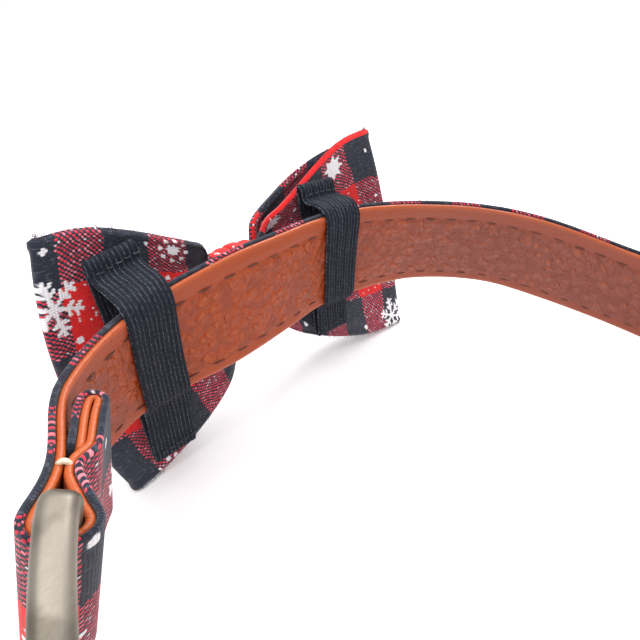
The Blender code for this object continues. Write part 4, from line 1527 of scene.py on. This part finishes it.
@dataclass
class Bow:
    """The pinched cloth ring of the bow and the band wound round its pinch."""

    place: BowPlace
    wall: float = 1.0
    rim: float = 1.7
    rim_deep: float = 1.3
    around: int = 360
    rows: int = 84
    spacing: float = 1.05
    blunt: float = 0.5
    knot_width: float = 9.0
    knot_deep: float = 3.85
    knot_tall: float = 7.95
    knot_square: float = 3.4
    knot_wall: float = 1.0
    knot_around: int = 720
    knot_rows: int = 36
    far_tip: float = 71.0
    fibres: int = 1100
    far_slip: float = 3.9
    rim_slip: float = 0.9
    near_slip: float = 2.4
    change_half: int = 6

    def ring(self) -> tuple[Array, Array]:
        """Middle surface of the band round the bow.

        Returns:
            Points by column and row in the bow's frame, and the rises of the rows.
        """
        angle = 2 * math.pi * (np.arange(self.around) + 0.5) / self.around
        out = np.copysign(np.abs(np.cos(angle)) ** self.spacing, np.cos(angle))
        layer = np.copysign(np.abs(np.sin(angle)) ** self.blunt, np.sin(angle))
        rises = np.linspace(-1.0, 1.0, self.rows + 1)
        return self.place.surface(out[:, None], layer[:, None], rises[None, :]), rises

    def band(self, finishes: Finishes) -> bpy.types.Object:
        """Build the band with rolled rims and its cloth measured round the ring."""
        grid, rises = self.ring()
        near_rim = self.place.height / 2 * (1.0 - np.abs(rises))
        half_rim = self.rim / 2
        rolled = np.sqrt(np.clip(1.0 - ((near_rim - half_rim) / half_rim) ** 2, 0.0, 1.0)) * half_rim
        beside_rim = 1 - smooth_step(near_rim, half_rim, self.rim_deep + half_rim)
        flat = self.wall / 2 + (half_rim - self.wall / 2) * beside_rim
        half = np.maximum(np.where(near_rim < half_rim, rolled, flat), 0.06)
        outer, inner, _ = closed_sheet(grid, half)
        tall = (rises * self.place.height / 2)[None, :] + np.zeros((self.around + 1, 1))
        slip = self.near_slip + (self.far_slip - self.near_slip) * self.passed(1)
        slip = slip + (self.rim_slip - slip) * smooth_step(-tall, 12.0, 24.0)
        tall = tall - slip * smooth_step(-tall, -8.0, 6.0)
        skins = self.place.world(outer), self.place.world(inner)
        piece = ring_piece("bow_band_cloth", *skins, self.cloth_lengths(grid), tall, finishes.bow_cloth)
        stand_for(piece, "bow_band")
        length = float(ring_lengths(grid[:, self.rows // 2])[-1])
        return piece

    def fray(self, strands: StrandMaker, finishes: Finishes) -> bpy.types.Object:
        """Fine loose fibres along both rims of the bow."""
        rng = np.random.default_rng(11)
        grid, _ = self.ring()
        column = rng.integers(0, self.around, self.fibres)
        row = rng.choice([0, -1], self.fibres)
        rim = grid[column, row]
        ahead = grid[(column + 1) % self.around, row] - grid[column - 1, row]
        ahead /= np.linalg.norm(ahead, axis=1)[:, None]
        upward = np.where(row == 0, -1.0, 1.0)[:, None] * np.array([[0.0, 0.0, 1.0]])
        spread = rng.normal(0.0, 0.6, (self.fibres, 3))
        keep = np.abs(rim[:, 0]) > self.knot_width
        places = self.place.world(rim + upward * 0.1 + spread * (0.1, 0.5, 0.1))[keep]
        runs = (ahead * spread[:, :1] * 1.6 + upward * 0.9 + spread * 0.5)[keep]
        aways = spread[keep] + (0.0, 1.0, 0.0)
        size = StrandSize(0.9, 0.045, 0.0, 0.35, 3, 3)
        return strands.lay("bow_fibres", places, runs, aways, size, finishes.fuzz)

    def passed(self, quarters: int) -> Array:
        """Smooth step from 0 to 1 where the ring has gone some quarters of its way round."""
        column = quarters * (self.around // 4)
        steps = np.arange(self.around + 1)
        return smooth_step(steps, column - self.change_half, column + self.change_half)[:, None]

    def cloth_lengths(self, grid: Array) -> Array:
        """How far along the cloth each point lies.

        Lengths are measured from the nearer tip, so that the check's columns run straight.

        Args:
            grid: Middle surface of the band.

        Returns:
            Lengths by column and row, with the first column once more at the end.
        """
        steps = np.linalg.norm(np.roll(grid, -1, axis=0) - grid, axis=2)
        walked = np.concatenate((np.zeros((1, grid.shape[1])), np.cumsum(steps, axis=0)))
        far = walked - walked[self.around // 2] + self.far_tip
        share, back = self.passed(1), self.passed(3)
        home = walked - walked[-1] + 2 * self.far_tip
        return walked * (1 - share) + far * share * (1 - back) + home * back

    def knot(self, finishes: Finishes) -> bpy.types.Object:
        """Build the creased strip wound round the pinch."""
        angle = 2 * math.pi * np.arange(self.knot_around) / self.knot_around
        power = 2.0 / self.knot_square
        deep = self.knot_deep * np.copysign(np.abs(np.cos(angle)) ** power, np.cos(angle))
        tall = self.knot_tall * np.copysign(np.abs(np.sin(angle)) ** power, np.sin(angle))
        line = evenly(np.column_stack((deep, tall))[np.r_[0 : len(angle), 0]], 0.3, closed=True)
        share = np.linspace(-1.0, 1.0, self.knot_rows + 1)
        walked = ring_lengths(line)
        turn = (walked[:-1] / walked[-1])[:, None]
        width = self.knot_width / 2 * (1.0 - 0.10 * np.cos(2 * math.pi * turn) ** 2)
        x = share[None, :] * width + 0.25 * soft_noise(turn * 9.0, np.zeros((1, 1)), 4)
        crown = 0.55 * (1.0 - share[None, :] ** 2)
        crease = np.zeros_like(x)
        for place, depth, seed in KNOT_CREASES:
            sway = place + 0.16 * soft_noise(turn * 6.0, np.zeros((1, 1)), seed)
            crease = crease + depth * np.exp(-(((share[None, :] - sway) / 0.10) ** 2))
        swell = crown - crease + 0.12 * soft_noise(turn * 22.0, share[None, :] * 3.0, 6)
        line_out = np.stack((np.zeros(len(line)), line[:, 0], line[:, 1]), axis=-1)
        flat = np.broadcast_to(line_out[:, None, :], (len(line), len(share), 3)).copy()
        flat[..., 0] = x
        edge = np.sqrt(np.clip(1.0 - ((np.abs(share) - 0.86) / 0.14) ** 2, 0.02, 1.0))
        half = self.knot_wall / 2 * np.where(np.abs(share) > 0.86, edge, 1.0)
        _, _, away = closed_sheet(flat, half)
        flat = flat + away * swell[..., None]
        outer, inner, _ = closed_sheet(flat, half)
        lift = np.array([0.0, 0.0, self.place.pinch_rise])
        skins = self.place.world(outer + lift), self.place.world(inner + lift)
        across = share * self.knot_width / 2 + 12.0
        piece = ring_piece("bow_knot_cloth", *skins, walked + 9.0, across, finishes.bow_cloth)
        stand_for(piece, "bow_knot")
        return piece


@dataclass
class Elastics:
    """The two ribbed elastic loops sewn to the back of the bow and passed round the strap."""

    line: StrapLine
    place: BowPlace
    strap: Strap
    width: float = 8.0
    wall: float = 0.8
    ribs: int = 7
    slack: float = 0.12
    tab: float = 3.2
    bend: float = 0.62
    stations: int = 7
    columns: int = 56
    step: float = 0.45
    tab_stitch: float = 1.5
    tabs: list[Array] = field(default_factory=list)

    def path(self, across: float, back: float, rise: float, drop: float) -> Array:
        """One lengthwise line of the band's middle surface in the bow's frame.

        Args:
            across: Place along the bow.
            back: Depth of the run behind the bow's back.
            rise: Height of the upper tab over the strap's top edge.
            drop: Depth of the lower tab under the strap's bottom edge.

        Returns:
            Even steps of the closed line.
        """
        along = self.line.along_at(across + self.line.shift[0])
        half = self.strap.cloth_width / 2
        stand = self.slack + self.wall / 2
        inner = self.strap.leather + self.strap.seam + stand
        outer = -self.strap.cloth - self.strap.seam - stand

        def beside(inside: float, height: float) -> tuple[float, float]:
            """A place beside the strap as depth and height in the bow's frame."""
            spot = self.place.local(self.line.point(np.array(along), np.array(inside), np.array(height)))
            return float(spot[1]), float(spot[2])

        over, under = beside(outer, half + stand), beside(outer, -half - stand)
        top, low = over[1] + rise, under[1] - drop
        front = back + 2 * self.bend
        line = [(back, low + self.bend), (back, (top + low) / 2), (back, top - self.bend)]
        line += Strap.arc((back + self.bend, top - self.bend), self.bend, 180, 0)
        line += [(front, top - self.tab), beside(outer + 0.5, half + stand + 0.6)]
        line += [beside(inner - 0.9, half + stand), beside(inner, half - 1.2), beside(inner, 0.0)]
        line += [beside(inner, 1.2 - half), beside(inner - 0.9, -half - stand)]
        line += [beside(outer + 0.5, -half - stand - 0.6), (front, low + self.tab)]
        line += Strap.arc((back + self.bend, low + self.bend), self.bend, 0, -180)
        dense = evenly(np.array(line + line[:1]), 0.25)[:-1]
        for _ in range(14):
            dense = (np.roll(dense, 1, axis=0) + 2 * dense + np.roll(dense, -1, axis=0)) / 4
        return evenly(np.vstack((dense, dense[:1])), self.step, closed=True)

    def loop(
        self, name: str, node: str, middle: float, rise: float, drop: float, finishes: Finishes
    ) -> bpy.types.Object:
        """Build one loop.

        Args:
            name: Name of the piece.
            node: The solid it stands for.
            middle: Place of its middle along the bow.
            rise: Height of its upper tab over the strap.
            drop: Depth of its lower tab under the strap.
            finishes: The materials.

        Returns:
            The finished object.
        """
        spread = np.linspace(-0.5, 0.5, self.stations) * self.width
        back = max(self.back_depth(middle + s) for s in spread) + self.wall / 2 + 0.2
        lines = [self.path(middle + s, back, rise, drop) for s in spread]
        count = len(lines[self.stations // 2])
        even = [self.evened(line, count) for line in lines]
        share = np.linspace(-1.0, 1.0, self.columns + 1)
        grid = np.zeros((count, self.columns + 1, 3))
        for step in range(count):
            for axis in (1, 2):
                values = np.array([line[step, axis - 1] for line in even])
                grid[step, :, axis] = np.interp(share * self.width / 2, spread, values)
        turn = np.arange(count)[:, None] / count
        narrow = 1.0 - 0.03 * np.sin(2 * math.pi * turn) ** 2
        sway = 0.12 * soft_noise(turn * 7.0, np.zeros((1, 1)), 8)
        grid[..., 0] = middle + share[None, :] * self.width / 2 * narrow + sway
        rib = np.abs(np.cos(math.pi * self.ribs * (share + 1.0) / 2))
        round_off = np.sqrt(np.clip(1.0 - ((np.abs(share) - 0.95) / 0.05) ** 2, 0.03, 1.0))
        half = self.wall / 2 * (0.74 + 0.26 * (1.0 - rib**5)) * np.where(np.abs(share) > 0.95, round_off, 1.0)
        outer, inner, _ = closed_sheet(grid, half)
        walked = ring_lengths(grid[:, self.columns // 2])
        skins = self.place.world(outer), self.place.world(inner)
        piece = ring_piece(name, *skins, walked, share * self.width / 2, finishes.elastic)
        stand_for(piece, node)
        tall = grid[:, self.columns // 2, 2]
        for edge, way in ((tall.max(), -1.0), (tall.min(), 1.0)):
            behind = grid[:, self.columns // 2, 1] > back + self.bend
            row = int(np.argmin(np.where(behind, np.abs(tall - edge - way * self.tab_stitch), np.inf)))
            self.tabs.append(grid[row, 4:-4:10])
        return piece

    def sew(self, strands: StrandMaker, finishes: Finishes) -> bpy.types.Object:
        """Lay the black stitches that hold the four tabs."""
        rows = np.concatenate(self.tabs)
        places = self.place.world(rows + (0.0, self.wall / 2, 0.0))
        runs = np.tile((1.0, 0.0, 0.0), (len(rows), 1))
        aways = np.tile((0.0, 1.0, 0.0), (len(rows), 1))
        size = StrandSize(1.1, 0.3, 0.2, 0.5)
        return strands.lay("tab_stitches", places, runs, aways, size, finishes.elastic_thread)

    @staticmethod
    def evened(line: Array, count: int) -> Array:
        """The closed line cut into a given number of steps."""
        closed = np.vstack((line, line[:1]))
        lengths = np.concatenate(([0.0], np.cumsum(np.linalg.norm(np.diff(closed, axis=0), axis=1))))
        at = np.linspace(0.0, lengths[-1], count + 1)[:-1]
        return np.column_stack([np.interp(at, lengths, closed[:, k]) for k in range(2)])

    def back_depth(self, across: float) -> float:
        """How far back the bow's cloth reaches at a place along the bow."""
        rises = np.linspace(-0.95, 0.95, 60)
        outs = across / self.place.reach(np.full(60, math.copysign(1.0, across)), rises)
        return float(self.place.surface(outs, np.ones(60), rises)[:, 1].max()) + 0.5

    def build(self, finishes: Finishes) -> list[bpy.types.Object]:
        """Both loops."""
        half = self.place.length / 2
        return [
            self.loop(name, node, share * half, rise, drop, finishes)
            for name, node, share, rise, drop in ELASTIC_ROWS
        ]


@dataclass
class Clasp:
    """The plain curved plate whose slotted ends are the bars for the strap."""

    line: StrapLine
    length: float = 30.0
    border: float = 3.2
    thick: float = 3.4
    slot: float = 6.0
    corner: float = 3.0
    bevel: float = 1.1
    strap_width: float = 20.0
    depth: float = 2.6

    def build(self, finishes: Finishes) -> bpy.types.Object:
        """Make the plate and bend it along the strap's line."""
        half, tall_half = self.length / 2, self.strap_width / 2 + 0.6 + self.border
        ends = [-half, self.border - half]
        slot = list(np.linspace(self.border - half, self.border + self.slot - half, 5)[1:])
        middle = list(np.linspace(slot[-1], -slot[-1], 9)[1:-1])
        along = ends + slot + middle + [-x for x in reversed(ends + slot)]
        tall = [-tall_half, self.border - tall_half, tall_half - self.border, tall_half]
        shape = bmesh.new()
        grid = [[shape.verts.new((x, -self.thick / 2, z)) for z in tall] for x in along]
        last = len(along) - 1
        for i in range(last):
            for j in range(3):
                if j != 1 or not (1 <= i < 5 or last - 5 <= i < last - 1):
                    shape.faces.new((grid[i][j], grid[i + 1][j], grid[i + 1][j + 1], grid[i][j + 1]))
        raised = bmesh.ops.extrude_face_region(shape, geom=shape.faces[:])
        lifted = [v for v in raised["geom"] if isinstance(v, bmesh.types.BMVert)]
        bmesh.ops.translate(shape, verts=lifted, vec=(0.0, self.thick, 0.0))
        bmesh.ops.recalc_face_normals(shape, faces=shape.faces[:])
        tips = [e for e in shape.edges if all(self.at_corner(v.co, half, tall_half) for v in e.verts)]
        bmesh.ops.bevel(shape, geom=tips, offset=self.corner, segments=7, profile=0.5, affect="EDGES")
        rims = [e for e in shape.edges if e.calc_face_angle(0.0) > math.radians(45)]
        bmesh.ops.bevel(shape, geom=rims, offset=self.bevel, segments=5, profile=0.5, affect="EDGES")
        places = np.array([v.co[:] for v in shape.verts])
        bent = self.line.point(places[:, 0], places[:, 1] + self.depth, places[:, 2]) * MM
        for vertex, place in zip(shape.verts, bent):
            vertex.co = place
        bmesh.ops.recalc_face_normals(shape, faces=shape.faces[:])
        mesh = bpy.data.meshes.new("clasp_plate")
        shape.to_mesh(mesh)
        shape.free()
        mesh.shade_smooth()
        mesh.set_sharp_from_angle(angle=math.radians(50))
        mesh.materials.append(finishes.metal)
        piece = bpy.data.objects.new("clasp_plate", mesh)
        bpy.context.scene.collection.objects.link(piece)
        stand_for(piece, "clasp")
        return piece

    @staticmethod
    def at_corner(place: Vector, half: float, tall_half: float) -> bool:
        """Whether a point lies on one of the flat plate's four corners."""
        return abs(abs(place.x) - half) + abs(abs(place.z) - tall_half) < 1e-4


@dataclass
class Studio:
    """The pale table, the soft lights and the camera at the photo's angle."""

    shift: Array
    eye: tuple[float, float, float] = (45.5, 67.0, 76.0)
    heading: float = 230.0
    tilt: float = 34.0
    roll: float = -4.76
    lens: float = 29.7
    table: float = 2400.0
    sweep: float = 1400.0
    sky: float = 0.98
    lit_place: tuple[float, float, float] = (0.0, -20.0, 20.0)

    def build(self, finishes: Finishes) -> None:
        """Set the table, the lights and the camera."""
        scene = bpy.context.scene
        scene.view_settings.view_transform = "Standard"
        mesh = GridMesh()
        turns = np.radians(np.arange(0, 360, 5))[:, None]
        flat, curved = np.linspace(0.25, 1.0, 6) * self.table, np.linspace(0.1, 1.0, 14) * self.sweep
        far = np.concatenate(([0.0], flat, self.table + curved))
        rise = np.maximum(far - self.table, 0.0) ** 2 / (1.1 * self.sweep)
        grid = np.stack(np.broadcast_arrays(far * np.cos(turns), far * np.sin(turns), rise[None, :]), axis=-1)
        mesh.add(grid, np.concatenate((grid, grid[:1]))[..., :2], wrap_rows=True)
        floor = mesh.build("table", finishes.floor)
        plane = bmesh.new()
        plane.from_mesh(floor.data)
        bmesh.ops.remove_doubles(plane, verts=plane.verts[:], dist=1e-6)
        plane.to_mesh(floor.data)
        plane.free()
        world = bpy.data.worlds.new("soft_room")
        world.use_nodes = True
        background = world.node_tree.nodes["Background"]
        background.inputs["Color"].default_value = (1.0, 1.0, 1.0, 1.0)
        background.inputs["Strength"].default_value = self.sky
        scene.world = world
        for name, place, size, power in LAMPS:
            self.light(name, place, size, power)
        camera = bpy.data.cameras.new("photo_camera")
        camera.lens, camera.sensor_width = self.lens, 36.0
        camera.clip_start = 0.001
        eye = bpy.data.objects.new("photo_camera", camera)
        eye.matrix_world = self.pose()
        scene.collection.objects.link(eye)
        scene.camera = eye

    def pose(self) -> Matrix:
        """The camera's place and turn in metres."""
        heading, tilt = math.radians(self.heading), math.radians(self.tilt)
        level = math.cos(tilt)
        forward = Vector((level * math.cos(heading), level * math.sin(heading), -math.sin(tilt)))
        turn = forward.to_track_quat("-Z", "Y").to_matrix() @ Matrix.Rotation(math.radians(self.roll), 3, "Z")
        eye = Vector(self.eye) + Vector(self.shift)
        return Matrix.Translation(eye * MM) @ turn.to_4x4()

    def light(self, name: str, place: tuple[float, float, float], size: float, power: float) -> None:
        """One soft square light that looks at the collar."""
        lamp = bpy.data.lights.new(name, "AREA")
        lamp.size, lamp.energy = size * MM, power
        holder = bpy.data.objects.new(name, lamp)
        spot = Vector(place) * MM
        aim = (Vector(self.lit_place) * MM - spot).to_track_quat("-Z", "Y")
        holder.matrix_world = Matrix.Translation(spot) @ aim.to_matrix().to_4x4()
        bpy.context.scene.collection.objects.link(holder)


def main() -> None:
    """Build every piece of the collar and report each."""
    logging.basicConfig(level=logging.INFO, format="%(message)s")
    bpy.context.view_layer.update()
    finishes = make_finishes()
    line = StrapLine()
    Studio(line.shift).build(finishes)
    strap = Strap(line)
    strands = StrandMaker()
    pieces = strap.build(finishes) + strap.sew(strands, finishes)
    place = BowPlace()
    bow = Bow(place)
    pieces += [bow.band(finishes), bow.knot(finishes)]
    elastics = Elastics(line, place, strap)
    pieces += elastics.build(finishes)
    pieces += [elastics.sew(strands, finishes), bow.fray(strands, finishes), strap.fray(strands, finishes)]
    pieces.append(Clasp(line).build(finishes))
    for piece in pieces:
        LOG.info("%s: %d faces", piece.name, len(piece.data.polygons))


if __name__ == "__main__":
    main()
